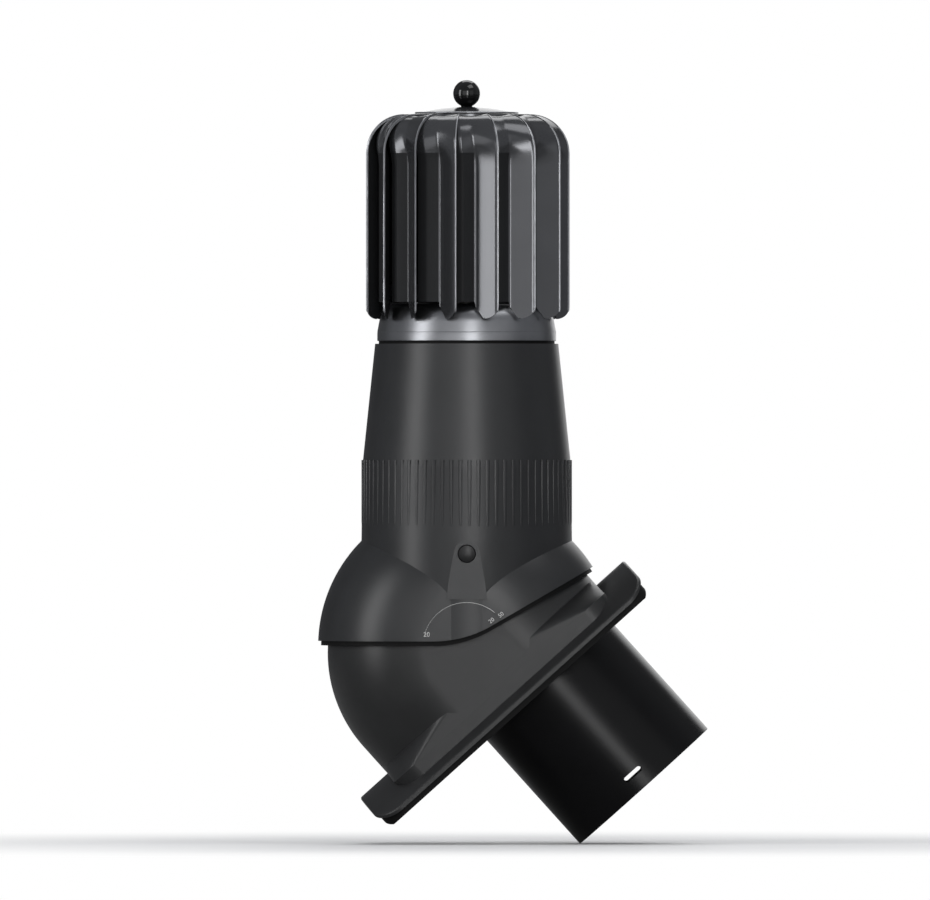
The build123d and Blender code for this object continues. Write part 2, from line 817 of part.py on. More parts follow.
def make_bracket():
    """Spider across the neck that holds the axle."""
    rim = tube(bracket_rim, bracket_hole, bracket_base, bracket_base + bracket_plate)
    hub = disc(bracket_hub_radius, bracket_base - bracket_hub_drop, bracket_base + bracket_hub_rise)
    spoke = Pos(bracket_hole / 2 + bracket_plate / 2, 0, bracket_base + bracket_arm_height / 2)
    spoke = spoke * Box(bracket_hole + bracket_plate, bracket_arm_width, bracket_arm_height)
    body = union([rim, hub] + around(spoke, bracket_arms))
    body = body - disc(axle_radius + press_fit, 0, far)
    for one in make_neck_screws():
        body = body - one
    return body


def make_axle():
    """Fixed axle with the collar that sits on the bracket's hub."""
    hub_top = bracket_base + bracket_hub_rise
    hub_bottom = bracket_base - bracket_hub_drop
    top = upper_seat + bearing_width + axle_above_bearing
    rod = disc(axle_radius, hub_bottom - axle_bottom_thread, top)
    return rod + disc(axle_collar_radius, hub_top, lower_seat)


def make_axle_nuts():
    """Nut under the bracket and nut over the upper bearing."""
    hub_bottom = bracket_base - bracket_hub_drop
    low = nut(nut_flats, axle_radius, hub_bottom - nut_height, hub_bottom)
    seat = upper_seat + bearing_width
    return [low, nut(nut_flats, axle_radius, seat, seat + nut_height)]


def make_spacer():
    """Tube on the axle that keeps the two bearings apart."""
    inner = axle_radius + press_fit
    return tube(axle_radius + spacer_wall, inner, lower_seat + bearing_width, upper_seat)


def bearing_groove(base):
    """Ring in which the balls of a bearing run."""
    middle = (bearing_inner_lip + bearing_outer_lip) / 2
    track = Pos(middle, 0, base + bearing_width / 2)
    return revolve(track * (Plane.XZ * Circle(ball_radius + ball_play)), Axis.Z)


def make_bearing_inner(base):
    """Inner ring of a bearing, fixed on the axle."""
    ring = tube(bearing_inner_lip, axle_radius + press_fit, base, base + bearing_width)
    return ring - bearing_groove(base)


def make_bearing_outer(base):
    """Outer ring of a bearing, turning with the rotor."""
    ring = tube(bearing_radius, bearing_outer_lip, base, base + bearing_width)
    return ring - bearing_groove(base)


def make_balls(base):
    """Balls of one bearing."""
    middle = (bearing_inner_lip + bearing_outer_lip) / 2
    one = Pos(middle, 0, base + bearing_width / 2) * Sphere(ball_radius)
    return around(one, ball_count)


def make_hub():
    """Tube that carries the rotor on both bearings, with a flange under the crown."""
    bore = bearing_radius + press_fit
    top = rotor_top - crown_sheet
    body = tube(bore + hub_wall, bore, lower_seat, top - hub_flange)
    body = body + disc(hub_flange_radius, top - hub_flange, top)
    body = body - disc(finial_stud_radius + press_fit, top - 2 * hub_flange, far)
    for one in make_hub_screws():
        body = body - one
    return body


def make_hub_screws():
    """Screws from the crown into the hub's flange."""
    one = Pos(hub_screw_circle, 0, rotor_top) * screw(hub_screw_radius, crown_sheet + hub_flange)
    return around(one, hub_screw_count, 180 / hub_screw_count)


def make_crown():
    """Pan under the cap whose skirt holds the tops of the blades."""
    outer = crown_radius - crown_gap
    pan = tube(outer, finial_stud_radius + press_fit, rotor_top - crown_skirt, rotor_top)
    pan = pan - disc(outer - crown_sheet, 0, rotor_top - crown_sheet)
    for one in make_hub_screws():
        pan = pan - one
    return pan


def make_cap():
    """Shallow dished cover over the crown."""
    def dish(radius, height):
        ball = (radius ** 2 + height ** 2) / (2 * height)
        return Pos(0, 0, rotor_top + height - ball) * Sphere(ball) & disc(far, rotor_top, far)
    shell = dish(cap_radius, cap_rise) - dish(cap_radius - cap_sheet, cap_rise - cap_sheet)
    return shell - disc(finial_stud_radius + press_fit, 0, far)


def make_finial():
    """Ball on a short neck, with the stud that holds cap, crown and hub together."""
    seat = rotor_top + cap_rise
    finial_height = seat + finial_neck + finial_radius
    ball = Pos(0, 0, finial_height) * Sphere(finial_radius)
    return ball + disc(finial_neck_radius, seat, finial_height) + disc(
        finial_stud_radius, seat - finial_stud - finial_nut_height, finial_height
    )


def make_finial_nut():
    """Nut on the finial's stud, inside the hub."""
    top = rotor_top - crown_sheet - hub_flange
    return nut(finial_nut_flats, finial_stud_radius, top - finial_nut_height, top)


def blade_depth(angle):
    """How far a blade lies inside the rotor's outline, by the angle from its outer edge."""
    start = rotor_radius * cos(radians(flange_turn))
    bend = start / cos(radians(flange_turn - bend_angle))
    if angle <= bend_angle:
        radius = start / cos(radians(flange_turn - angle))
    else:
        share = (angle - bend_angle) / (inner_edge_angle - bend_angle)
        radius = bend + (inner_edge_radius - bend) * share
    return rotor_radius - radius


def blade_section(angle, thickness):
    """Upright strip of the blade at an angle, bent in over the shoulder."""
    depth = blade_depth(angle)
    if abs(angle - bend_angle) < bend_softness:
        depth = (blade_depth(bend_angle - bend_softness) + blade_depth(bend_angle + bend_softness)) / 2
    foot = blade_foot if angle <= bend_angle else blade_inner_foot
    turn = radians(-angle)
    plane = Plane((0, 0, 0), x_dir=(sin(turn), -cos(turn), 0), z_dir=(-cos(turn), -sin(turn), 0))
    outer = rotor_radius - depth
    inner = outer - thickness
    out_arc = shoulder_radius - depth
    in_arc = out_arc - thickness
    wire = [
        Line((inner, foot), (outer, foot)),
        Line((outer, foot), (outer, shoulder_height)),
        ThreePointArc(
            (outer, shoulder_height),
            (crown_radius + out_arc * slant, shoulder_height + out_arc * slant),
            (crown_radius, shoulder_height + out_arc),
        ),
        Line((crown_radius, shoulder_height + out_arc), (crown_radius, shoulder_height + in_arc)),
        ThreePointArc(
            (crown_radius, shoulder_height + in_arc),
            (crown_radius + in_arc * slant, shoulder_height + in_arc * slant),
            (inner, shoulder_height),
        ),
        Line((inner, shoulder_height), (inner, foot)),
    ]
    return plane * make_face(Wire(wire))


def blade_step_cutter():
    """Trims the blades' inner part so that only a tab hangs beside the neck."""
    slope = (blade_tab_inner - blade_step_radius) / (blade_inner_foot - blade_foot)
    return turned([
        (0, blade_foot - blade_corner),
        (0, blade_inner_foot),
        (blade_step_radius, blade_inner_foot),
        (blade_tab_inner + slope * blade_corner, blade_foot - blade_corner),
    ])


def blade_corner_cutter():
    """Rounds the lower outer corner of the blades."""
    centre_radius = rotor_radius - blade_corner
    centre_height = blade_foot + blade_corner
    reach = blade_corner + crown_gap
    start = (centre_radius, centre_height - reach)
    end = (centre_radius + reach, centre_height)
    outside = centre_radius + 2 * reach
    under = centre_height - 2 * reach
    wire = [
        ThreePointArc(start, (centre_radius + reach * slant, centre_height - reach * slant), end),
        Line(end, (outside, centre_height)),
        Line((outside, centre_height), (outside, under)),
        Line((outside, under), (centre_radius, under)),
        Line((centre_radius, under), start),
    ]
    return revolve(Plane.XZ * make_face(Wire(wire)), Axis.Z)


def make_blade():
    """Curved blade whose outer edge faces the viewer."""
    before = [bend_angle * share for share in (0, 0.33, 0.66)]
    bend = [bend_angle - bend_softness, bend_angle, bend_angle + bend_softness]
    after = [(bend_angle + inner_edge_angle) / 2, inner_edge_angle]
    sections = [blade_section(angle, blade_thickness) for angle in before + bend + after]
    return loft(sections, ruled=True) - blade_step_cutter() - blade_corner_cutter()


def ring_outer():
    """Radius of the lower ring, which touches the blades' bends from inside."""
    return rotor_radius - blade_depth(bend_angle) - blade_thickness - crown_gap


def make_lower_ring():
    """Spoked ring behind the bends of the blades, carried by the hub."""
    outer = ring_outer()
    top = ring_base + ring_sheet
    bore = bearing_radius + press_fit + hub_wall
    flat = tube(outer, outer - ring_width, ring_base, top)
    skirt = tube(outer, outer - ring_sheet, ring_base, top + ring_skirt)
    collar = tube(bore + ring_collar_wall, bore, ring_base, top + ring_skirt)
    length = outer - ring_width / 2 - bore - ring_collar_wall / 2
    spoke = Pos(bore + ring_collar_wall / 2 + length / 2, 0, ring_base + ring_sheet / 2)
    spoke = spoke * Box(length, ring_spoke_width, ring_sheet)
    body = union([flat, skirt, collar] + around(spoke, ring_spokes))
    return body - disc(bore, 0, far)


def blade_turns():
    """Turns that carry the blade at the viewer to each blade's place."""
    pitch = 360 / blade_count
    return [Rot(0, 0, first_blade + pitch * i) for i in range(blade_count)]


def build_base():
    """Pieces that stay on the roof."""
    keep_on_roof("base_dome", make_base())
    keep_on_roof("roof_seal", make_roof_seal())
    keep_on_roof("duct_spigot", make_spigot())
    keep_on_roof("spigot_screws", make_spigot_screws())
    keep_on_roof("pitch_sector_front", make_sector(-1))
    keep_on_roof("pitch_sector_rear", make_sector(1))
    keep_on_roof("sector_screws", make_sector_screws())


def build_stack():
    """Pieces that tilt with the stack."""
    keep("outer_casing", make_casing())
    keep("hood_seal", make_hood_seal())
    keep("riser_pipe", make_riser())
    keep("insulation_sleeve", make_sleeve())
    keep("flange_screws", make_flange_screws())
    keep("neck_gasket", make_gasket())
    keep("neck_collar", make_neck())
    keep("neck_screws", make_neck_screws())
    keep("axle_bracket", make_bracket())
    keep("rotor_axle", make_axle())
    keep("axle_nuts", make_axle_nuts())
    keep("bearing_spacer", make_spacer())
    keep("lower_bearing_inner", make_bearing_inner(lower_seat))
    keep("upper_bearing_inner", make_bearing_inner(upper_seat))
    for end, side in (("front", -1), ("rear", 1)):
        keep(f"tilt_arm_{end}", make_arm(side))
        keep(f"tilt_pin_{end}", make_pin(side))
        keep(f"{end}_button_housing", make_housing(side))
        keep(f"{end}_button", make_button(side))
        keep(f"{end}_lock_stem", make_stem(side))
        keep(f"{end}_button_spring", make_spring(side))


def build_rotor():
    """Pieces that spin."""
    keep("rotor_hub", make_hub())
    keep("hub_screws", make_hub_screws())
    keep("rotor_crown", make_crown())
    keep("rotor_cap", make_cap())
    keep("finial_ball", make_finial())
    keep("finial_nut", make_finial_nut())
    keep("lower_bearing_outer", make_bearing_outer(lower_seat))
    keep("upper_bearing_outer", make_bearing_outer(upper_seat))
    keep("lower_bearing_balls", make_balls(lower_seat))
    keep("upper_bearing_balls", make_balls(upper_seat))
    keep("lower_ring", make_lower_ring())
    blade = make_blade()
    for number, turn in enumerate(blade_turns(), 1):
        keep(f"blade_{number:02d}", turn * blade)


if __name__ == "__main__":
    os.makedirs("parts", exist_ok=True)
    build_base()
    build_stack()
    build_rotor()
    for name, shape in pieces.items():
        export_step(shape, f"parts/{name}.step")
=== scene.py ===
"""Dressed scene of a roof turbine ventilator: its visible pieces, finishes, studio and camera.

Lengths are in metres in the CAD's own frame. Pieces of the stack and the rotor are placed from the
tilt axis, and heights are measured up from it.
"""
import json
import logging
from dataclasses import dataclass, field
from enum import Enum
from math import atan2, cos, degrees, pi, radians, sin, sqrt

import bpy
from mathutils import Matrix, Vector

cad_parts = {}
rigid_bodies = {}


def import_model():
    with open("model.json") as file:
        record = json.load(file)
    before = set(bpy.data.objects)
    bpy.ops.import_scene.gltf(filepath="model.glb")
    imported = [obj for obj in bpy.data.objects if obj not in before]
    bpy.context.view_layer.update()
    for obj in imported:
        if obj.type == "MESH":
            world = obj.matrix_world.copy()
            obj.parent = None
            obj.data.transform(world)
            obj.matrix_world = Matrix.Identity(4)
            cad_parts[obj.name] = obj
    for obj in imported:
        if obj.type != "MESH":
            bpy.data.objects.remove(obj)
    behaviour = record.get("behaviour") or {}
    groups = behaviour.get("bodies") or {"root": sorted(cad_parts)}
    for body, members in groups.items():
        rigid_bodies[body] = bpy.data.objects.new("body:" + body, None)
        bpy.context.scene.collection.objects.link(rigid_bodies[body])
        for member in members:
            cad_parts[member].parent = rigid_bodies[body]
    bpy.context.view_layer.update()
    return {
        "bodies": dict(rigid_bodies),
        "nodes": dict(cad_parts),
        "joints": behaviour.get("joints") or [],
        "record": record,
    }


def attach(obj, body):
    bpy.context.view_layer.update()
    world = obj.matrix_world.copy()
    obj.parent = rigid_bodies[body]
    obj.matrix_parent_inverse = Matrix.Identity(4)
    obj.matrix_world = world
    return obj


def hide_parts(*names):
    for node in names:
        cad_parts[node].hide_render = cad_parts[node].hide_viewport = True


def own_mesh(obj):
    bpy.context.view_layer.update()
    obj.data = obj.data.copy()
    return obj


MM = 0.001
# Middle of the tilt axis in the CAD's frame.
TILT = Vector((-73.0135, 0.0, 32.2204)) * MM
MERGE_DISTANCE = 1e-6
LOG = logging.getLogger("ventilator")


class Grain(Enum):
    """Fine relief of a finish."""

    SPARK = "spark-eroded mould texture"
    ROLLED = "coated sheet with a faint orange peel"
    TURNED = "fine rings left by the lathe"
    FOAM = "open foam cells"
    PLAIN = "smooth"


@dataclass(frozen=True)
class Finish:
    """Numbers of one surface finish, turned into a material when it is first used.

    Sizes are in metres, and mottle is the share by which the colour varies.
    """

    name: str
    colour: tuple[float, float, float]
    roughness: float
    metallic: float = 0.0
    specular: float = 0.5
    mottle: float = 0.12
    mottle_size: float = 0.03
    grain: Grain = Grain.PLAIN
    grain_size: float = 0.0006
    grain_depth: float = 0.00002
    coat: float = 0.0
    coat_roughness: float = 0.1

    def material(self) -> bpy.types.Material:
        """Build the material, or return the one that is there.

        Returns:
            The node material of this finish.
        """
        found = bpy.data.materials.get(self.name)
        if found:
            return found
        made = bpy.data.materials.new(self.name)
        made.use_nodes = True
        nodes, links = made.node_tree.nodes, made.node_tree.links
        shader = nodes["Principled BSDF"]
        shader.inputs["Metallic"].default_value = self.metallic
        shader.inputs["Specular IOR Level"].default_value = self.specular
        shader.inputs["Coat Weight"].default_value = self.coat
        shader.inputs["Coat Roughness"].default_value = self.coat_roughness
        place = nodes.new("ShaderNodeTexCoord")
        cloud = nodes.new("ShaderNodeTexNoise")
        cloud.inputs["Scale"].default_value = 1 / self.mottle_size
        cloud.inputs["Detail"].default_value = 5.0
        links.new(place.outputs["Object"], cloud.inputs["Vector"])
        ramp = nodes.new("ShaderNodeValToRGB")
        for stop, share in zip(ramp.color_ramp.elements, (1 - self.mottle, 1 + self.mottle)):
            stop.color = (*(channel * share for channel in self.colour), 1.0)
        ramp.color_ramp.elements[0].position = 0.3
        ramp.color_ramp.elements[1].position = 0.7
        links.new(cloud.outputs["Fac"], ramp.inputs["Fac"])
        links.new(ramp.outputs["Color"], shader.inputs["Base Color"])
        spread = nodes.new("ShaderNodeMapRange")
        spread.inputs["To Min"].default_value = max(0.02, self.roughness * 0.9)
        spread.inputs["To Max"].default_value = min(1.0, self.roughness * 1.1)
        links.new(cloud.outputs["Fac"], spread.inputs["Value"])
        links.new(spread.outputs["Result"], shader.inputs["Roughness"])
        self.add_relief(made, place, shader)
        return made

    def add_relief(
        self,
        made: bpy.types.Material,
        place: bpy.types.ShaderNode,
        shader: bpy.types.ShaderNode,
    ) -> None:
        """Add the fine relief as a bump.

        Args:
            made: Material that is being built.
            place: Its Texture Coordinate node.
            shader: Its Principled shader.
        """
        if self.grain is Grain.PLAIN:
            return
        nodes, links = made.node_tree.nodes, made.node_tree.links
        stretch = nodes.new("ShaderNodeMapping")
        links.new(place.outputs["Object"], stretch.inputs["Vector"])
        if self.grain is Grain.FOAM:
            pattern = nodes.new("ShaderNodeTexVoronoi")
            output = pattern.outputs["Distance"]
        else:
            pattern = nodes.new("ShaderNodeTexNoise")
            pattern.inputs["Detail"].default_value = 3.0
            output = pattern.outputs["Fac"]
        if self.grain is Grain.TURNED:
            stretch.inputs["Scale"].default_value = (0.04, 0.04, 1.0)
        pattern.inputs["Scale"].default_value = 1 / self.grain_size
        links.new(stretch.outputs["Vector"], pattern.inputs["Vector"])
        bump = nodes.new("ShaderNodeBump")
        bump.inputs["Distance"].default_value = self.grain_depth
        bump.inputs["Strength"].default_value = 1.0
        links.new(output, bump.inputs["Height"])
        links.new(bump.outputs["Normal"], shader.inputs["Normal"])


@dataclass(frozen=True)
class Finishes:
    """All finishes of the ventilator."""

    casing: Finish = Finish("graphite_casing_plastic", (0.0105, 0.011, 0.012), 0.38, specular=0.42,
                            grain=Grain.SPARK)
    base: Finish = Finish("graphite_base_plastic", (0.0125, 0.0128, 0.0132), 0.38, specular=0.34,
                          grain=Grain.SPARK)
    spigot: Finish = Finish("black_spigot_plastic", (0.0018, 0.0018, 0.0021), 0.26, specular=0.16,
                            mottle=0.2, grain=Grain.ROLLED, grain_size=0.002, grain_depth=0.00001)
    rubber: Finish = Finish("black_seal_rubber", (0.003, 0.003, 0.003), 0.6, specular=0.12,
                            mottle=0.25, mottle_size=0.01, grain=Grain.SPARK, grain_size=0.0009)
    blade: Finish = Finish("graphite_coated_sheet", (0.062, 0.0635, 0.068), 0.18, metallic=0.65,
                           specular=0.7, mottle=0.05, grain=Grain.ROLLED, grain_size=0.0025,
                           grain_depth=0.000003)
    # Painted shade: a dark, dull copy of the blade sheet for the flaps and inner faces that lie in
    # shade between the blades.
    flap: Finish = Finish("graphite_sheet_painted_shade", (0.016, 0.0165, 0.0175), 0.45, specular=0.06,
                          mottle=0.05, grain=Grain.ROLLED, grain_size=0.0025, grain_depth=0.000003)
    # Painted highlight: a pale sheet for the blades' hem lines and the cap's rim line, where the
    # edges catch the lamps.
    hem: Finish = Finish("painted_highlight_sheet_edge", (0.28, 0.285, 0.30), 0.34, metallic=0.6,
                         mottle=0.12, mottle_size=0.006)
    neck: Finish = Finish("turned_neck_metal", (0.190, 0.194, 0.204), 0.33, metallic=1.0,
                          grain=Grain.TURNED, grain_size=0.0004, grain_depth=0.000006)
    finial: Finish = Finish("black_gloss_ball", (0.003, 0.003, 0.003), 0.10, specular=0.38,
                            mottle=0.1)
    button: Finish = Finish("black_button_plastic", (0.006, 0.006, 0.0065), 0.34, specular=0.28,
                            grain=Grain.SPARK, grain_size=0.0005, grain_depth=0.000008)
    housing: Finish = Finish("grey_housing_plastic", (0.05, 0.05, 0.05), 0.5, grain=Grain.SPARK)
    pipe: Finish = Finish("galvanised_pipe", (0.45, 0.46, 0.47), 0.38, metallic=1.0, mottle=0.2,
                          mottle_size=0.008, grain=Grain.ROLLED, grain_size=0.003)
    foam: Finish = Finish("insulating_foam", (0.30, 0.30, 0.29), 0.9, grain=Grain.FOAM,
                          grain_size=0.003, grain_depth=0.0004)
    # Steel colour kept dark as painted shade for the hub, axle and spacer seen between the blades.
    steel: Finish = Finish("dark_steel_painted_shade", (0.070, 0.070, 0.068), 0.38, metallic=1.0,
                           mottle_size=0.004, grain=Grain.TURNED, grain_size=0.0005,
                           grain_depth=0.000008)
    bearing: Finish = Finish("ground_bearing_steel", (0.35, 0.35, 0.36), 0.2, metallic=1.0,
                             mottle=0.05)
    # Pale colour for the printed numbers, also used for the dial line's painted highlight.
    print: Finish = Finish("pale_dial_print_and_highlight", (0.46, 0.46, 0.45), 0.6, mottle=0.15,
                           mottle_size=0.002)


def deselect() -> None:
    """Deselect every object, and leave edit mode first."""
    if bpy.context.object and bpy.context.object.mode == "EDIT":
        bpy.ops.object.mode_set(mode="OBJECT")
    bpy.ops.object.select_all(action="DESELECT")


def finish_mesh(piece: bpy.types.Object, angle: float = 30.0) -> None:
    """Merge doubles, point faces outwards and shade smooth up to an angle.

    Args:
        piece: Mesh object that is being finished.
        angle: Greatest angle in degrees across which the surface stays smooth.
    """
    deselect()
    piece.select_set(True)
    bpy.context.view_layer.objects.active = piece
    bpy.ops.object.mode_set(mode="EDIT")
    bpy.ops.mesh.select_all(action="SELECT")
    bpy.ops.mesh.remove_doubles(threshold=MERGE_DISTANCE)
    bpy.ops.mesh.normals_make_consistent(inside=False)
    bpy.ops.object.mode_set(mode="OBJECT")
    bpy.ops.object.shade_smooth_by_angle(angle=radians(angle))


def put_in_mesh(piece: bpy.types.Object) -> None:
    """Move an object's place, turn and scale into its mesh.

    Args:
        piece: Object that is changed.
    """
    deselect()
    piece.select_set(True)
    bpy.context.view_layer.objects.active = piece
    bpy.ops.object.transform_apply(location=True, rotation=True, scale=True)


def turned_piece(
    name: str,
    outline: list[tuple[float, float]],
    centre: Vector,
    segments: int,
    closed: bool = True,
) -> bpy.types.Object:
    """Turn an outline about an upright axis.

    Args:
        name: Name of the piece.
        outline: Points as (radius, height), in metres from the centre.
        centre: Point on the axis from which heights are measured.
        segments: Steps in a full turn.
        closed: Whether the last point joins the first.

    Returns:
        The finished piece, with its place in its mesh.
    """
    deselect()
    start = centre + Vector((outline[0][0], 0, outline[0][1]))
    bpy.ops.mesh.primitive_plane_add(size=MM, location=start)
    piece = bpy.context.object
    piece.name = piece.data.name = name
    bpy.ops.object.mode_set(mode="EDIT")
    bpy.ops.mesh.select_all(action="SELECT")
    bpy.ops.mesh.merge(type="CENTER")
    for (r0, z0), (r1, z1) in zip(outline, outline[1:]):
        bpy.ops.mesh.extrude_vertices_move(TRANSFORM_OT_translate={"value": (r1 - r0, 0, z1 - z0)})
    if closed:
        bpy.ops.object.mode_set(mode="OBJECT")
        ends = (0, len(piece.data.vertices) - 1)
        for vertex in piece.data.vertices:
            vertex.select = vertex.index in ends
        bpy.ops.object.mode_set(mode="EDIT")
        bpy.ops.mesh.edge_face_add()
    bpy.ops.mesh.select_all(action="SELECT")
    bpy.ops.mesh.spin(steps=segments, angle=2 * pi, center=centre, axis=(0, 0, 1))
    bpy.ops.object.mode_set(mode="OBJECT")
    put_in_mesh(piece)
    finish_mesh(piece)
    return piece


def own_copy(piece: bpy.types.Object, name: str, place: Matrix) -> bpy.types.Object:
    """Copy a piece with a mesh of its own.

    Args:
        piece: Piece that is copied.
        name: Name of the copy.
        place: Transform that carries the copy's mesh to its place.

    Returns:
        The copy.
    """
    copy = piece.copy()
    copy.data = piece.data.copy()
    copy.name = copy.data.name = name
    copy.data.transform(place)
    bpy.context.scene.collection.objects.link(copy)
    return copy


def join(pieces: list[bpy.types.Object], name: str) -> bpy.types.Object:
    """Join pieces into one object.

    Args:
        pieces: Objects to join; the first one is kept.
        name: Name of the result.

    Returns:
        The joined object.
    """
    deselect()
    for piece in pieces:
        piece.select_set(True)
    bpy.context.view_layer.objects.active = pieces[0]
    bpy.ops.object.join()
    pieces[0].name = pieces[0].data.name = name
    return pieces[0]


def apply_modifier(piece: bpy.types.Object, kind: str, **settings: object) -> None:
    """Add a modifier with its settings and apply it.

    Args:
        piece: Object that is modified.
        kind: Blender's name of the modifier's type.
        **settings: Values of the modifier's properties.
    """
    deselect()
    piece.select_set(True)
    bpy.context.view_layer.objects.active = piece
    modifier = piece.modifiers.new(kind.lower(), kind)
    for key, value in settings.items():
        setattr(modifier, key, value)
    bpy.ops.object.modifier_apply(modifier=modifier.name)


def dress(
    piece: bpy.types.Object,
    finish: Finish,
    body: str,
    slot: str,
    *nodes: str,
    others: tuple[Finish, ...] = (),
) -> bpy.types.Object:
    """Give a piece its finish, its body and the nodes that it stands for.

    Args:
        piece: Finished piece.
        finish: Its finish.
        body: Body that it rides on.
        slot: The record's material slot; not used.
        *nodes: CAD nodes that it replaces.
        others: Finishes of the faces whose material index is 1, 2 and so on.

    Returns:
        The same piece.
    """
    indices = [face.material_index for face in piece.data.polygons]
    piece.data.materials.clear()
    piece.data.materials.append(finish.material())
    for other in others:
        piece.data.materials.append(other.material())
    if others:
        piece.data.polygons.foreach_set("material_index", indices)
    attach(piece, body)
    if nodes:
        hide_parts(*nodes)
    LOG.info("%s: %d faces on %s", piece.name, len(piece.data.polygons), body)
    return piece


@dataclass
class RotorHead:
    """Spinning head: curved blades under a shallow cap with a ball on top.

    Heights are measured from the tilt axis. Angles are in degrees, and those of a blade run from
    its outer edge inwards: over the hem, the flange, the bend, the flap and the lip.
    """

    radius: float = 89.7 * MM
    shoulder: float = 34.0 * MM
    shoulder_height: float = 429.0 * MM
    blade_foot: float = 284.5 * MM
    inner_foot: float = 299.4 * MM
    corner: float = 11.3 * MM
    tab_inner: float = 79.5 * MM
    step_radius: float = 72.5 * MM
    sheet: float = 1.2 * MM
    blade_count: int = 15
    first_blade: float = -6.0
    flange_turn: float = 47.0
    bend_angle: float = 12.4
    edge_angle: float = 20.4
    edge_radius: float = 79.0 * MM
    bend_softness: float = 1.3
    hem_angle: float = 0.62
    hem_rise: float = 0.32 * MM
    hem_groove: float = 0.6
    hem_highlight_angle: float = 0.775
    edge_bevel: float = 0.22 * MM
    inward_limit: float = -0.1
    upright_rows: int = 14
    row_power: float = 1.8
    fade_rows: int = 4
    shoulder_rows: int = 16
    fade_drop: float = 12.0 * MM
    fade_turn: float = 80.0
    fade_share: float = 0.88
    petal_spread: float = 0.22
    petal_limit: float = 15.0
    lip_angle: float = 27.0
    lip_radius: float = 77.6 * MM
    cap_radius: float = 45.3 * MM
    cap_rise: float = 6.3 * MM
    cap_lift: float = 0.7 * MM
    cap_hole: float = 3.1 * MM
    rim_radius: float = 0.75 * MM
    ball_radius: float = 11.86 * MM
    ball_seat: float = 0.15 * MM
    stem_radius: float = 3.0 * MM
    stem_length: float = 17.0 * MM
    parting_line: float = 0.04 * MM

    @property
    def top(self) -> float:
        """Height of the crown above the tilt axis."""
        return self.shoulder_height + self.shoulder

    def blade_radius(self, angle: float) -> float:
        """Find the distance of the blade's face from the axle.

        Args:
            angle: Angle from the outer edge in degrees.

        Returns:
            The radius in metres.
        """
        flat = self.radius * cos(radians(self.flange_turn))
        bend = flat / cos(radians(self.flange_turn - self.bend_angle))

        def sharp(at: float) -> float:
            """Find the radius of the blade with a sharp bend."""
            if at <= self.bend_angle:
                return flat / cos(radians(self.flange_turn - at))
            if at > self.edge_angle:
                share = (at - self.edge_angle) / (self.lip_angle - self.edge_angle)
                return self.edge_radius + (self.lip_radius - self.edge_radius) * share
            share = (at - self.bend_angle) / (self.edge_angle - self.bend_angle)
            return bend + (self.edge_radius - bend) * share

        away = (angle - self.bend_angle) / self.bend_softness
        if abs(away) >= 1:
            return sharp(angle)
        low = sharp(self.bend_angle - self.bend_softness)
        high = sharp(self.bend_angle + self.bend_softness)
        straight = low + (high - low) * (away + 1) / 2
        return straight + (bend - straight) * 0.5 * (1 - away * away)

    def foot_height(self, angle: float, radius: float) -> float:
        """Find how low the blade reaches.

        Args:
            angle: Angle from the outer edge in degrees.
            radius: Distance from the axle in metres.

        Returns:
            The height of its lower edge above the tilt axis.
        """
        if angle > self.bend_angle:
            return self.inner_foot
        slope = (self.inner_foot - self.blade_foot) / (self.tab_inner - self.step_radius)
        step = self.inner_foot - (radius - self.step_radius) * slope
        centre = self.radius - self.corner
        across = min(max(0.0, radius - centre), self.corner)
        corner = self.blade_foot + self.corner - sqrt(self.corner ** 2 - across ** 2)
        return min(self.inner_foot, max(self.blade_foot, step, corner))

    def columns(self) -> list[float]:
        """List the angles at which the blade's sheet is divided.

        Returns:
            Angles from the outer edge inwards.
        """
        hem = [0.0] + [self.hem_angle * share for share in (0.5, 1, 1.15, 1.5)]
        flange = [1.8 + 0.55 * step for step in range(17)]
        shares = (-1, -0.6, -0.2, 0.2, 0.6, 1)
        bend = [self.bend_angle + self.bend_softness * share for share in shares]
        steps = (-5.6, -4.0, -2.4, -1.0, -0.25, 0.25, 1.4, 3.6)
        inner = [self.edge_angle + step for step in steps]
        return hem + flange + bend + inner + [self.lip_angle]

    def point(self, angle: float, row: int) -> Vector:
        """Find a point of the blade's outer face.

        Args:
            angle: Angle from the outer edge in degrees.
            row: Row from the foot up over the shoulder.

        Returns:
            The point for a blade whose outer edge faces the viewer.
        """
        radius = self.blade_radius(angle)
        relief = 0.0
        if 0 < angle <= self.hem_angle:
            relief = self.hem_rise
        elif self.hem_angle < angle < self.hem_angle * 1.3:
            relief = -self.hem_rise * self.hem_groove
        depth = self.radius - radius
        fade_start = self.shoulder_height - self.fade_drop
        turn = radians(90 * max(0, row - self.upright_rows - self.fade_rows) / self.shoulder_rows)
        if row <= self.upright_rows:
            foot = self.foot_height(angle, radius)
            height = foot + (fade_start - foot) * (row / self.upright_rows) ** self.row_power
        else:
            share = min(1.0, (row - self.upright_rows) / self.fade_rows)
            height = fade_start + self.fade_drop * share
        climbed = max(0.0, height - fade_start) + self.shoulder * turn
        share = min(1.0, climbed / (self.fade_drop + self.shoulder * radians(self.fade_turn)))
        fade = share * share * (3 - 2 * share)
        depth *= 1 - self.fade_share * fade
        reach = self.shoulder - depth + relief
        along = self.radius - self.shoulder + reach * cos(turn)
        spread = min(angle, 2 * self.edge_angle - angle, self.petal_limit)
        around = radians(-angle - self.petal_spread * fade * spread)
        return Vector((along * sin(around), -along * cos(around), height + reach * sin(turn)))

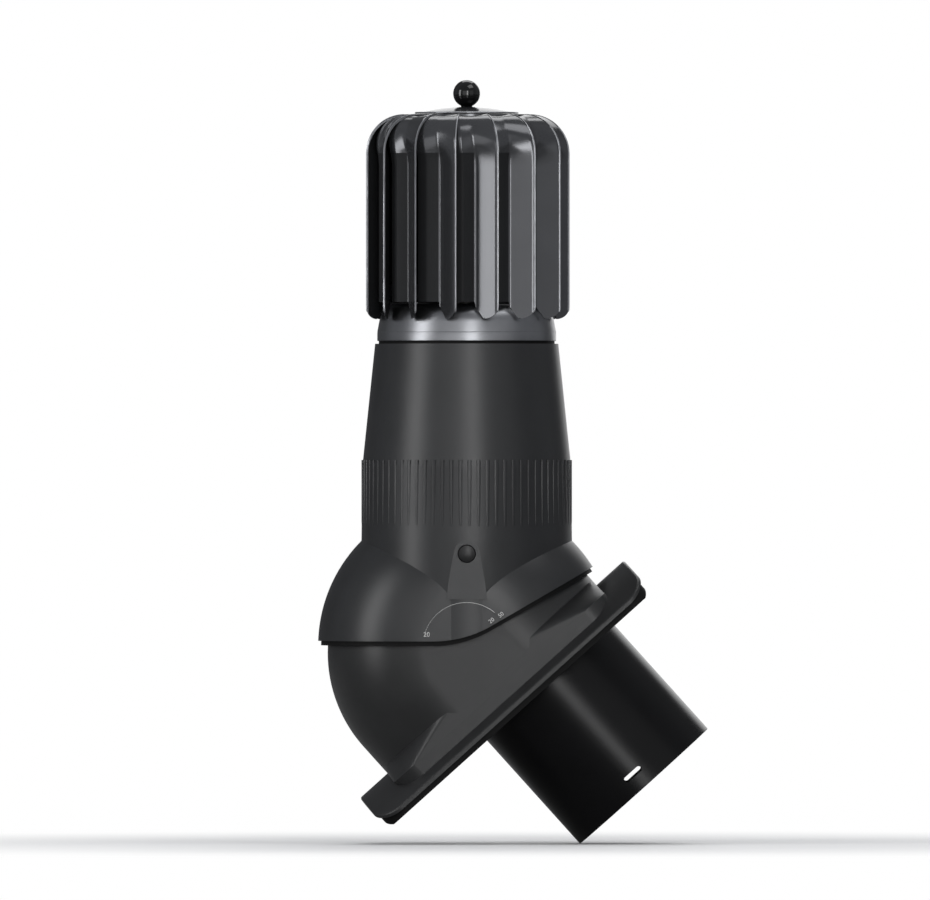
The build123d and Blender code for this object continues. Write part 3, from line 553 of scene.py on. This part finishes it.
    def make_blade(self) -> bpy.types.Object:
        """Model one blade at the viewer's side of the axle.

        Returns:
            The blade as a closed sheet.
        """
        angles = self.columns()
        rows = self.upright_rows + self.fade_rows + self.shoulder_rows
        deselect()
        bpy.ops.mesh.primitive_grid_add(
            x_subdivisions=len(angles) - 1, y_subdivisions=rows, size=2.0, location=(0, 0, 0)
        )
        blade = bpy.context.object
        blade.name = blade.data.name = "blade_pattern"
        for vertex in blade.data.vertices:
            column = round((vertex.co.x + 1) / 2 * (len(angles) - 1))
            row = round((vertex.co.y + 1) / 2 * rows)
            vertex.co = self.point(angles[column], row)
        finish_mesh(blade, 40.0)
        inward = blade.data.polygons[len(blade.data.polygons) // 3]
        if inward.normal.dot(Vector((inward.center.x, inward.center.y, 0))) < 0:
            blade.data.flip_normals()
        apply_modifier(blade, "SOLIDIFY", thickness=self.sheet, offset=-1.0, use_even_offset=True)
        apply_modifier(blade, "BEVEL", width=self.edge_bevel, segments=2, limit_method="ANGLE",
                       angle_limit=radians(50))
        finish_mesh(blade, 35.0)
        self.paint_blade(blade)
        return blade

    def paint_blade(self, blade: bpy.types.Object) -> None:
        """Give the hem's faces material 1, a painted highlight, and those of the flap and the
        inside material 2, a painted shade.

        Args:
            blade: Blade at the viewer's side of the axle.
        """
        flap_start = self.bend_angle + self.bend_softness * 0.5
        for face in blade.data.polygons:
            angle = degrees(atan2(-face.center.x, -face.center.y))
            # Flap faces past the bend, and faces turned to the axle, take the painted shade.
            bent = face.center.z < self.shoulder_height and angle > flap_start
            outwards = Vector((face.center.x, face.center.y, 0)).normalized()
            # Faces of the hem take the painted highlight.
            if angle < self.hem_highlight_angle:
                face.material_index = 1
            elif bent or face.normal.dot(outwards) < self.inward_limit:
                face.material_index = 2

    def make_cap(self) -> bpy.types.Object:
        """Model the shallow cap with its rolled rim.

        Returns:
            The cap.
        """
        ball = (self.cap_radius ** 2 + self.cap_rise ** 2) / (2 * self.cap_rise)

        def dish(radius: float) -> float:
            """Find the height of the dish above its rim."""
            return sqrt(ball ** 2 - radius ** 2) - ball + self.cap_rise

        rim, hole = self.rim_radius, self.cap_hole
        shares = (0.28, 0.4, 0.52, 0.64, 0.76, 0.88, 1.0)
        outer = [(self.cap_radius - rim * 1.6) * share for share in shares]
        outline = [(hole, dish(hole))] + [(radius, dish(radius)) for radius in outer]
        for step in range(9):
            turn = radians(110 - 200 * step / 8)
            outline.append((self.cap_radius - rim + rim * cos(turn), rim + rim * sin(turn)))
        for radius in reversed(outer):
            outline.append((radius * 0.985, max(0.0, dish(radius) - self.sheet)))
        outline.append((hole, dish(hole) - self.sheet))
        seat = TILT + Vector((0, 0, self.top + self.cap_lift))
        cap = turned_piece("cap_dish", outline, seat, 120)
        # The rim's faces take the pale finish as a painted highlight along the cap's edge.
        rim_height = TILT.z + self.top + self.cap_lift + 2.2 * rim
        for face in cap.data.polygons:
            reach = (Vector(face.center[:2]) - TILT.xy).length
            if reach > self.cap_radius - 1.2 * rim and face.center.z < rim_height:
                face.material_index = 1
        return cap

    def make_ball(self) -> bpy.types.Object:
        """Model the ball with its short neck and parting line.

        Returns:
            The ball.
        """
        seat = self.cap_rise
        stem_end = seat - self.stem_length
        centre = seat + self.ball_seat + self.ball_radius
        outline = [(0.0, stem_end), (self.stem_radius, stem_end), (self.stem_radius, seat),
                   (5.6 * MM, seat), (5.6 * MM, seat + 0.5 * MM), (4.8 * MM, seat + 0.9 * MM)]
        for step in range(41):
            turn = radians(-64 + 154 * step / 40)
            line = self.parting_line if abs(turn) < radians(2) else 0.0
            reach = self.ball_radius - line
            outline.append((max(0.0, reach * cos(turn)), centre + reach * sin(turn)))
        return turned_piece("top_ball", outline, TILT + Vector((0, 0, self.top)), 72, closed=False)

    def build(self, finishes: Finishes) -> None:
        """Build and dress the head.

        Args:
            finishes: The ventilator's finishes.
        """
        pattern = self.make_blade()
        for number in range(self.blade_count):
            azimuth = self.first_blade + 360 / self.blade_count * number
            place = Matrix.Translation(TILT) @ Matrix.Rotation(radians(azimuth), 4, "Z")
            blade = own_copy(pattern, f"blade_sheet_{number + 1:02d}", place)
            # Each blade's material 1 is the painted highlight on its hem, and material 2 the
            # painted shade on its flap and inside.
            dress(blade, finishes.blade, "rotor", "blade_metal", f"blade_{number + 1:02d}",
                  others=(finishes.hem, finishes.flap))
        bpy.data.objects.remove(pattern)
        dress(self.make_cap(), finishes.blade, "rotor", "blade_metal", "rotor_cap",
              others=(finishes.hem,))
        dress(self.make_ball(), finishes.finial, "rotor", "finial_black", "finial_ball")


@dataclass
class NeckCollar:
    """Turned collar between the casing and the spinning head."""

    base: float = 265.5 * MM
    radius: float = 78.0 * MM
    band: float = 7.9 * MM
    upper_radius: float = 76.4 * MM
    upper_height: float = 16.6 * MM
    mouth_radius: float = 66.0 * MM
    height: float = 32.0 * MM
    curve: tuple[float, float] = (74.2 * MM, 27.0 * MM)
    wall: float = 1.6 * MM
    throat: float = 63.0 * MM
    flange: float = 2.5 * MM

    def side(self, inset: float) -> list[tuple[float, float]]:
        """List the collar's upright side and its curve up to the mouth.

        Args:
            inset: Distance inside the outer face.

        Returns:
            Points from the foot up.
        """
        low = (self.upper_radius, self.upper_height)
        high = (self.mouth_radius, self.height)
        points = [(self.radius - inset, self.band), (self.upper_radius - inset, self.upper_height)]
        for step in range(1, 13):
            share = step / 12
            a = tuple(low[i] * (1 - share) + self.curve[i] * share for i in (0, 1))
            b = tuple(self.curve[i] * (1 - share) + high[i] * share for i in (0, 1))
            x = a[0] * (1 - share) + b[0] * share
            z = a[1] * (1 - share) + b[1] * share
            points.append((x - inset * 0.8, z - inset * (0.2 + 0.6 * share)))
        return points

    def build(self, finishes: Finishes) -> None:
        """Build and dress the collar.

        Args:
            finishes: The ventilator's finishes.
        """
        edge = 0.35 * MM
        outline = [(self.throat, 0.0), (self.radius - edge, 0.0), (self.radius, edge),
                   (self.radius, self.band - 0.6 * MM),
                   (self.radius - 0.15 * MM, self.band - 0.25 * MM)]
        outline += self.side(0.0)
        outline += list(reversed(self.side(self.wall)))
        outline += [(self.radius - self.wall, self.flange), (self.throat, self.flange)]
        collar = turned_piece("neck_shell", outline, TILT + Vector((0, 0, self.base)), 160)
        dress(collar, finishes.neck, "stack", "neck_metal", "neck_collar")


@dataclass
class CasingDetail:
    """Grip ribs round the casing, and the dial on the flat side of its hood: printed numbers and a
    pale line that is a painted highlight on the edge of the round boss.
    """

    rib_count: int = 72
    rib_phase: float = 1.5
    rib_radius: float = 91.15 * MM
    rib_width: float = 3.4 * MM
    rib_rise: float = 0.62 * MM
    rib_bevel: float = 0.32 * MM
    rib_foot_share: float = 0.55
    rib_crest_share: float = 0.62
    rib_fade: float = 14.0 * MM
    rib_top: float = 161.8 * MM
    rib_foot: float = 94.0 * MM
    dial_radius: float = 38.0 * MM
    dial_highlight_line: float = 0.42 * MM
    dial_highlight_fade: float = 0.65
    dial_start: float = 50.4
    dial_end: float = 167.5
    dial_steps: int = 60
    side_plane: float = 90.8 * MM
    print_lift: float = 0.04 * MM

    def make_rib(self) -> bpy.types.Object:
        """Model one rib on the side that faces up the roof.

        Returns:
            The rib, with a blunt top end and a foot that fades into the casing.
        """
        deselect()
        middle = (self.rib_top + self.rib_foot) / 2
        bpy.ops.mesh.primitive_cube_add(size=1.0, location=(self.rib_radius, 0, middle))
        rib = bpy.context.object
        rib.name = rib.data.name = "rib_pattern"
        rib.scale = (2 * self.rib_rise, self.rib_width, self.rib_top - self.rib_foot)
        bpy.ops.object.transform_apply(location=True, rotation=True, scale=True)
        bpy.ops.object.mode_set(mode="EDIT")
        bpy.ops.mesh.select_all(action="DESELECT")
        bpy.ops.object.mode_set(mode="OBJECT")
        for vertex in rib.data.vertices:
            vertex.select = vertex.co.z < middle and vertex.co.x > self.rib_radius
        bpy.ops.object.mode_set(mode="EDIT")
        bpy.ops.transform.translate(value=(-1.2 * self.rib_rise, 0, 0))
        bpy.ops.mesh.select_all(action="SELECT")
        bpy.ops.mesh.subdivide(number_cuts=1)
        bpy.ops.object.mode_set(mode="OBJECT")
        for vertex in rib.data.vertices:
            outside = vertex.co.x - self.rib_radius
            if vertex.co.z < middle - MM:
                vertex.co.y *= self.rib_foot_share
            elif abs(vertex.co.z - middle) < MM:
                vertex.co.z = self.rib_foot + self.rib_fade
                if outside > 0:
                    vertex.co.x = self.rib_radius + self.rib_rise
            if outside > 0.2 * self.rib_rise and abs(vertex.co.y) > 0.3 * self.rib_width:
                vertex.co.y *= self.rib_crest_share
        finish_mesh(rib, 70.0)
        apply_modifier(rib, "BEVEL", width=self.rib_bevel, segments=2, limit_method="ANGLE",
                       angle_limit=radians(30))
        finish_mesh(rib, 70.0)
        return rib

    def build_ribs(self, finishes: Finishes) -> None:
        """Set the ribs round the casing.

        Args:
            finishes: The ventilator's finishes.
        """
        pattern = self.make_rib()
        ribs = []
        for number in range(self.rib_count):
            azimuth = self.rib_phase + 360 / self.rib_count * number
            turn = Matrix.Rotation(radians(azimuth - 90), 4, "Z")
            ribs.append(own_copy(pattern, f"rib_{number}", Matrix.Translation(TILT) @ turn))
        bpy.data.objects.remove(pattern)
        dress(join(ribs, "casing_ribs"), finishes.casing, "stack", "grey_plastic")

    def on_side(self, radius: float, angle: float, front: bool) -> Vector:
        """Find a point of the print on the hood's flat side.

        Args:
            radius: Distance from the tilt axis in metres.
            angle: Angle up from the right-hand side in degrees, as the viewer sees it.
            front: Whether it is the viewer's side.

        Returns:
            The point.
        """
        side = -1 if front else 1
        spot = TILT + Vector((radius * cos(radians(angle)), 2 * side * self.side_plane,
                              radius * sin(radians(angle))))
        casing = bpy.data.objects["outer_casing"]
        found, place, _, _ = casing.ray_cast(spot, Vector((0, -side, 0)))
        reach = abs(place.y) if found else self.side_plane
        return Vector((spot.x, side * (reach + self.print_lift), spot.z))

    def make_arc(self, front: bool) -> bpy.types.Object:
        """Model the dial's line as a thin raised strip in the pale print colour, a painted
        highlight on the edge of the round boss.

        Args:
            front: Whether it is on the viewer's side.

        Returns:
            The line.
        """
        deselect()
        bpy.ops.mesh.primitive_grid_add(
            x_subdivisions=self.dial_steps, y_subdivisions=1, size=2.0
        )
        arc = bpy.context.object
        arc.name = arc.data.name = "dial_highlight_line"
        for vertex in arc.data.vertices:
            share = (vertex.co.x + 1) / 2
            # The line narrows towards its left end: painted fall-off of the highlight, which is
            # brightest at the right.
            width = self.dial_highlight_line * (1 - self.dial_highlight_fade * share)
            radius = self.dial_radius + vertex.co.y * width / 2
            angle = self.dial_start + (self.dial_end - self.dial_start) * share
            vertex.co = self.on_side(radius, angle, front)
        return arc

    def make_number(
        self, text: str, radius: float, angle: float, turn: float, size: float, front: bool
    ) -> bpy.types.Object:
        """Model a plain number of the dial.

        Args:
            text: The number.
            radius: Its distance from the tilt axis in metres.
            angle: Its place in degrees up from the right-hand side.
            turn: Its own turn in degrees.
            size: Height of the type in metres.
            front: Whether it is on the viewer's side.

        Returns:
            The number as a mesh.
        """
        deselect()
        bpy.ops.object.text_add(location=(0, 0, 0))
        label = bpy.context.object
        label.data.body = text
        label.data.size = size
        label.data.align_x = "CENTER"
        label.data.align_y = "CENTER"
        label.data.extrude = self.print_lift
        bpy.ops.object.convert(target="MESH")
        label = bpy.context.object
        stand = Matrix.Rotation(radians(90), 4, "X")
        if not front:
            stand = Matrix.Rotation(pi, 4, "Z") @ stand
        tilted = Matrix.Rotation(radians(-turn if front else turn), 4, "Y")
        spot = Matrix.Translation(self.on_side(radius, angle, front))
        label.data.transform(spot @ tilted @ stand)
        label.name = label.data.name = f"dial_number_{text}"
        return label

    def build_dial(self, finishes: Finishes) -> None:
        """Print the dial's numbers and the painted highlight line on both sides of the hood.

        Args:
            finishes: The ventilator's finishes.
        """
        numbers = (("20", 36.2 * MM, 164.0, 0.0, 5.6 * MM), ("20", 31.0 * MM, 46.0, 40.0, 5.0 * MM),
                   ("50", 40.4 * MM, 42.5, 40.0, 5.0 * MM))
        for front in (True, False):
            marks = [self.make_arc(front)]
            for text, radius, angle, turn, size in numbers:
                marks.append(self.make_number(text, radius, angle, turn, size, front))
            name = "dial_print_and_highlight_front" if front else "dial_print_and_highlight_rear"
            dress(join(marks, name), finishes.print, "stack", "grey_plastic")

    def build(self, finishes: Finishes) -> None:
        """Build and dress ribs and dial.

        Args:
            finishes: The ventilator's finishes.
        """
        self.build_ribs(finishes)
        self.build_dial(finishes)


@dataclass
class LockButtons:
    """Round push buttons of the tilt lock, one on each side."""

    height: float = 80.3 * MM
    radius: float = 7.6 * MM
    face: float = 91.4 * MM
    skirt: float = 7.5 * MM
    crown: float = 0.9 * MM
    corner: float = 0.5 * MM

    def build(self, finishes: Finishes) -> None:
        """Build and dress both buttons.

        Args:
            finishes: The ventilator's finishes.
        """
        for end, side in (("front", -1), ("rear", 1)):
            outline = [(0.0, -self.skirt), (self.radius - 0.2 * MM, -self.skirt)]
            outline += [(self.radius, 0.2 * MM - self.skirt)]
            outline += [(self.radius, -self.crown - self.corner)]
            for step in range(1, 5):
                turn = radians(90 * step / 4)
                outline.append((self.radius - self.corner * (1 - cos(turn)),
                                -self.crown - self.corner + self.corner * sin(turn)))
            for step in range(1, 11):
                share = 1 - step / 10
                outline.append(((self.radius - 0.7 * MM) * share, -self.crown * (share ** 2)))
            name = f"{end}_push_button"
            button = turned_piece(name, outline, Vector((0, 0, 0)), 64, closed=False)
            lie = Matrix.Rotation(radians(-90 * side), 4, "X")
            spot = TILT + Vector((0, side * self.face, self.height))
            button.data.transform(Matrix.Translation(spot) @ lie)
            dress(button, finishes.button, f"{end}_lock", "button_black", f"{end}_button")


@dataclass
class LockSprings:
    """Coil springs behind the push buttons."""

    travel: float = 5.0 * MM

    def build(self, frame: dict, finishes: Finishes) -> None:
        """Build and dress both springs.

        Args:
            finishes: The ventilator's finishes.
        """
        for end, side in (("front", -1), ("rear", 1)):
            node = f"{end}_button_spring"
            mesh = frame["nodes"][node].data.copy()
            spring = bpy.data.objects.new(f"{end}_coil_spring", mesh)
            bpy.context.scene.collection.objects.link(spring)
            finish_mesh(spring)
            dress(spring, finishes.steel, "stack", "steel", node)
            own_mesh(spring)


@dataclass
class CarriedNodes:
    """CAD nodes that stay as they are and take a finish."""

    by_slot: dict[str, str] = field(default_factory=lambda: {
        "grey_plastic": "casing", "black_spigot": "spigot", "black_rubber": "rubber",
        "blade_metal": "blade", "neck_metal": "neck", "finial_black": "finial",
        "button_black": "button", "housing_plastic": "housing", "pipe_metal": "pipe",
        "insulation": "foam", "steel": "steel", "bearing_steel": "bearing",
    })

    def build(self, frame: dict, finishes: Finishes) -> None:
        """Dress every CAD node by its slot.

        Args:
            finishes: The ventilator's finishes.
        """
        for part in frame["record"]["subparts"]:
            node = frame["nodes"][part["node"]]
            finish = getattr(finishes, self.by_slot[part["material_slot"]])
            if part["node"] == "base_dome":
                finish = finishes.base
            node.data.materials.clear()
            node.data.materials.append(finish.material())
            LOG.info("%s keeps its CAD shape in %s", part["node"], finish.name)


@dataclass(frozen=True)
class Lamp:
    """Numbers of one soft box that faces the ventilator.

    The azimuth is in degrees from the viewer to the right, the elevation in degrees above the
    middle of the part. Distance and size are in metres, and the power is in watts.
    """

    name: str
    azimuth: float
    elevation: float
    distance: float
    size: tuple[float, float]
    power: float


@dataclass
class Studio:
    """Floor, backdrop light, lamps and camera.

    Pairs are the values from low to high, or at the start and end of a blend.
    """

    floor_height: float = -0.1407
    floor_radius: float = 9.0
    floor_tone: tuple[float, float] = (0.30, 0.86)
    floor_fade: tuple[float, float] = (0.25, 0.9)
    sky_colour: tuple[float, float, float] = (0.80, 0.82, 0.86)
    sky_band: tuple[float, float] = (0.30, 0.65)
    sky_strength: tuple[float, float] = (0.45, 0.14)
    white_band: tuple[float, float] = (0.990, 0.998)
    middle: tuple[float, float] = (-74.5 * MM, 202.7 * MM)
    frame_width: float = 811.0 * MM
    distance: float = 24.0
    sensor: float = 36.0
    lamps: tuple[Lamp, ...] = (
        Lamp("left_strip", -61.0, 5.0, 2.2, (0.6, 2.4), 28.0),
        Lamp("front_strip", 7.0, 8.0, 2.6, (0.45, 2.0), 23.0),
        Lamp("front_panel", -15.0, 8.0, 2.7, (1.9, 2.0), 12.0),
        Lamp("right_panel", 42.0, 12.0, 2.4, (1.4, 1.6), 3.0),
        Lamp("top_right_box", 55.0, 62.0, 2.0, (1.2, 0.8), 9.0),
        Lamp("back_top_box", 175.0, 55.0, 2.2, (1.4, 0.8), 10.0),
        Lamp("back_panel", 165.0, 18.0, 2.4, (1.6, 1.6), 11.0),
    )

    def build_floor(self) -> None:
        """Lay a pale floor under the ventilator and fade it into the white backdrop."""
        deselect()
        bpy.ops.mesh.primitive_circle_add(
            vertices=96, radius=self.floor_radius, fill_type="NGON",
            location=(0, 0, self.floor_height)
        )
        floor = bpy.context.object
        floor.name = "studio_floor"
        paint = bpy.data.materials.new("pale_floor")
        paint.use_nodes = True
        nodes, links = paint.node_tree.nodes, paint.node_tree.links
        shader = nodes["Principled BSDF"]
        tone = nodes.new("ShaderNodeMapRange")
        tone.inputs["To Min"].default_value = self.floor_tone[0]
        tone.inputs["To Max"].default_value = self.floor_tone[1]
        shader.inputs["Roughness"].default_value = 0.9
        glow = nodes.new("ShaderNodeEmission")
        glow.inputs["Strength"].default_value = 1.0
        place = nodes.new("ShaderNodeTexCoord")
        away = nodes.new("ShaderNodeVectorMath")
        away.operation = "LENGTH"
        fade = nodes.new("ShaderNodeMapRange")
        fade.interpolation_type = "SMOOTHSTEP"
        fade.inputs["From Min"].default_value = self.floor_fade[0]
        fade.inputs["From Max"].default_value = self.floor_fade[1]
        path = nodes.new("ShaderNodeLightPath")
        seen = nodes.new("ShaderNodeMath")
        seen.operation = "MULTIPLY"
        blend = nodes.new("ShaderNodeMixShader")
        links.new(path.outputs["Is Camera Ray"], tone.inputs["Value"])
        links.new(tone.outputs["Result"], shader.inputs["Base Color"])
        links.new(place.outputs["Object"], away.inputs[0])
        links.new(away.outputs["Value"], fade.inputs["Value"])
        links.new(fade.outputs["Result"], seen.inputs[0])
        links.new(path.outputs["Is Camera Ray"], seen.inputs[1])
        links.new(seen.outputs["Value"], blend.inputs[0])
        links.new(shader.outputs["BSDF"], blend.inputs[1])
        links.new(glow.outputs["Emission"], blend.inputs[2])
        links.new(blend.outputs["Shader"], nodes["Material Output"].inputs["Surface"])
        floor.data.materials.append(paint)

    def build_world(self) -> None:
        """Give the world a soft grey light, dimmer behind the part, and a white for the camera.

        A narrow cone of that white behind the part also shows in reflections.
        """
        world = bpy.data.worlds.new("studio_world")
        bpy.context.scene.world = world
        world.use_nodes = True
        nodes, links = world.node_tree.nodes, world.node_tree.links
        soft = nodes["Background"]
        soft.inputs["Color"].default_value = (*self.sky_colour, 1.0)
        white = nodes.new("ShaderNodeBackground")
        white.inputs["Color"].default_value = (1.0, 1.0, 1.0, 1.0)
        white.inputs["Strength"].default_value = 1.0
        path = nodes.new("ShaderNodeLightPath")
        place = nodes.new("ShaderNodeTexCoord")
        parts = nodes.new("ShaderNodeSeparateXYZ")
        behind = nodes.new("ShaderNodeMapRange")
        behind.inputs["From Min"].default_value = self.white_band[0]
        behind.inputs["From Max"].default_value = self.white_band[1]
        dimmer = nodes.new("ShaderNodeMapRange")
        dimmer.inputs["From Min"].default_value = self.sky_band[0]
        dimmer.inputs["From Max"].default_value = self.sky_band[1]
        dimmer.inputs["To Min"].default_value = self.sky_strength[0]
        dimmer.inputs["To Max"].default_value = self.sky_strength[1]
        mirrored = nodes.new("ShaderNodeMath")
        mirrored.operation = "MULTIPLY"
        seen = nodes.new("ShaderNodeMath")
        seen.operation = "MAXIMUM"
        through = nodes.new("ShaderNodeMath")
        through.operation = "MAXIMUM"
        blend = nodes.new("ShaderNodeMixShader")
        links.new(place.outputs["Generated"], parts.inputs[0])
        links.new(parts.outputs["Y"], behind.inputs["Value"])
        links.new(parts.outputs["Y"], dimmer.inputs["Value"])
        links.new(dimmer.outputs["Result"], soft.inputs["Strength"])
        links.new(behind.outputs["Result"], mirrored.inputs[0])
        links.new(path.outputs["Is Glossy Ray"], mirrored.inputs[1])
        links.new(path.outputs["Is Camera Ray"], seen.inputs[0])
        links.new(path.outputs["Is Transmission Ray"], seen.inputs[1])
        links.new(seen.outputs["Value"], through.inputs[0])
        links.new(mirrored.outputs["Value"], through.inputs[1])
        links.new(through.outputs["Value"], blend.inputs[0])
        links.new(soft.outputs["Background"], blend.inputs[1])
        links.new(white.outputs["Background"], blend.inputs[2])
        links.new(blend.outputs["Shader"], nodes["World Output"].inputs["Surface"])

    def build_lamps(self) -> None:
        """Set the lamps that draw the highlights along the stack and light its back."""
        aim = Vector((self.middle[0], 0, self.middle[1]))
        for lamp in self.lamps:
            azimuth, elevation = radians(lamp.azimuth), radians(lamp.elevation)
            way = Vector((sin(azimuth) * cos(elevation), -cos(azimuth) * cos(elevation),
                          sin(elevation)))
            data = bpy.data.lights.new(lamp.name, "AREA")
            data.shape = "RECTANGLE"
            data.size, data.size_y = lamp.size
            data.energy = lamp.power
            placed = bpy.data.objects.new(lamp.name, data)
            placed.location = aim + way * lamp.distance
            placed.rotation_euler = (-way).to_track_quat("-Z", "Y").to_euler()
            bpy.context.scene.collection.objects.link(placed)

    def build_camera(self) -> None:
        """Set the level long-lens camera of the photograph."""
        data = bpy.data.cameras.new("photo_camera")
        data.sensor_width = self.sensor
        data.lens = self.sensor * self.distance / self.frame_width
        data.clip_end = 100.0
        camera = bpy.data.objects.new("photo_camera", data)
        camera.location = (self.middle[0], -self.distance, self.middle[1])
        camera.rotation_euler = (radians(90), 0, 0)
        bpy.context.scene.collection.objects.link(camera)
        bpy.context.scene.camera = camera

    def build(self) -> None:
        """Build the whole studio."""
        self.build_floor()
        self.build_world()
        self.build_lamps()
        self.build_camera()
        bpy.context.scene.view_settings.view_transform = "Standard"


def main() -> None:
    """Load the frame and build every class in order."""
    logging.basicConfig(level=logging.INFO, format="%(name)s: %(message)s")
    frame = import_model()
    finishes = Finishes()
    CarriedNodes().build(frame, finishes)
    CasingDetail().build(finishes)
    NeckCollar().build(finishes)
    RotorHead().build(finishes)
    LockButtons().build(finishes)
    LockSprings().build(frame, finishes)
    Studio().build()


if __name__ == "__main__":
    main()
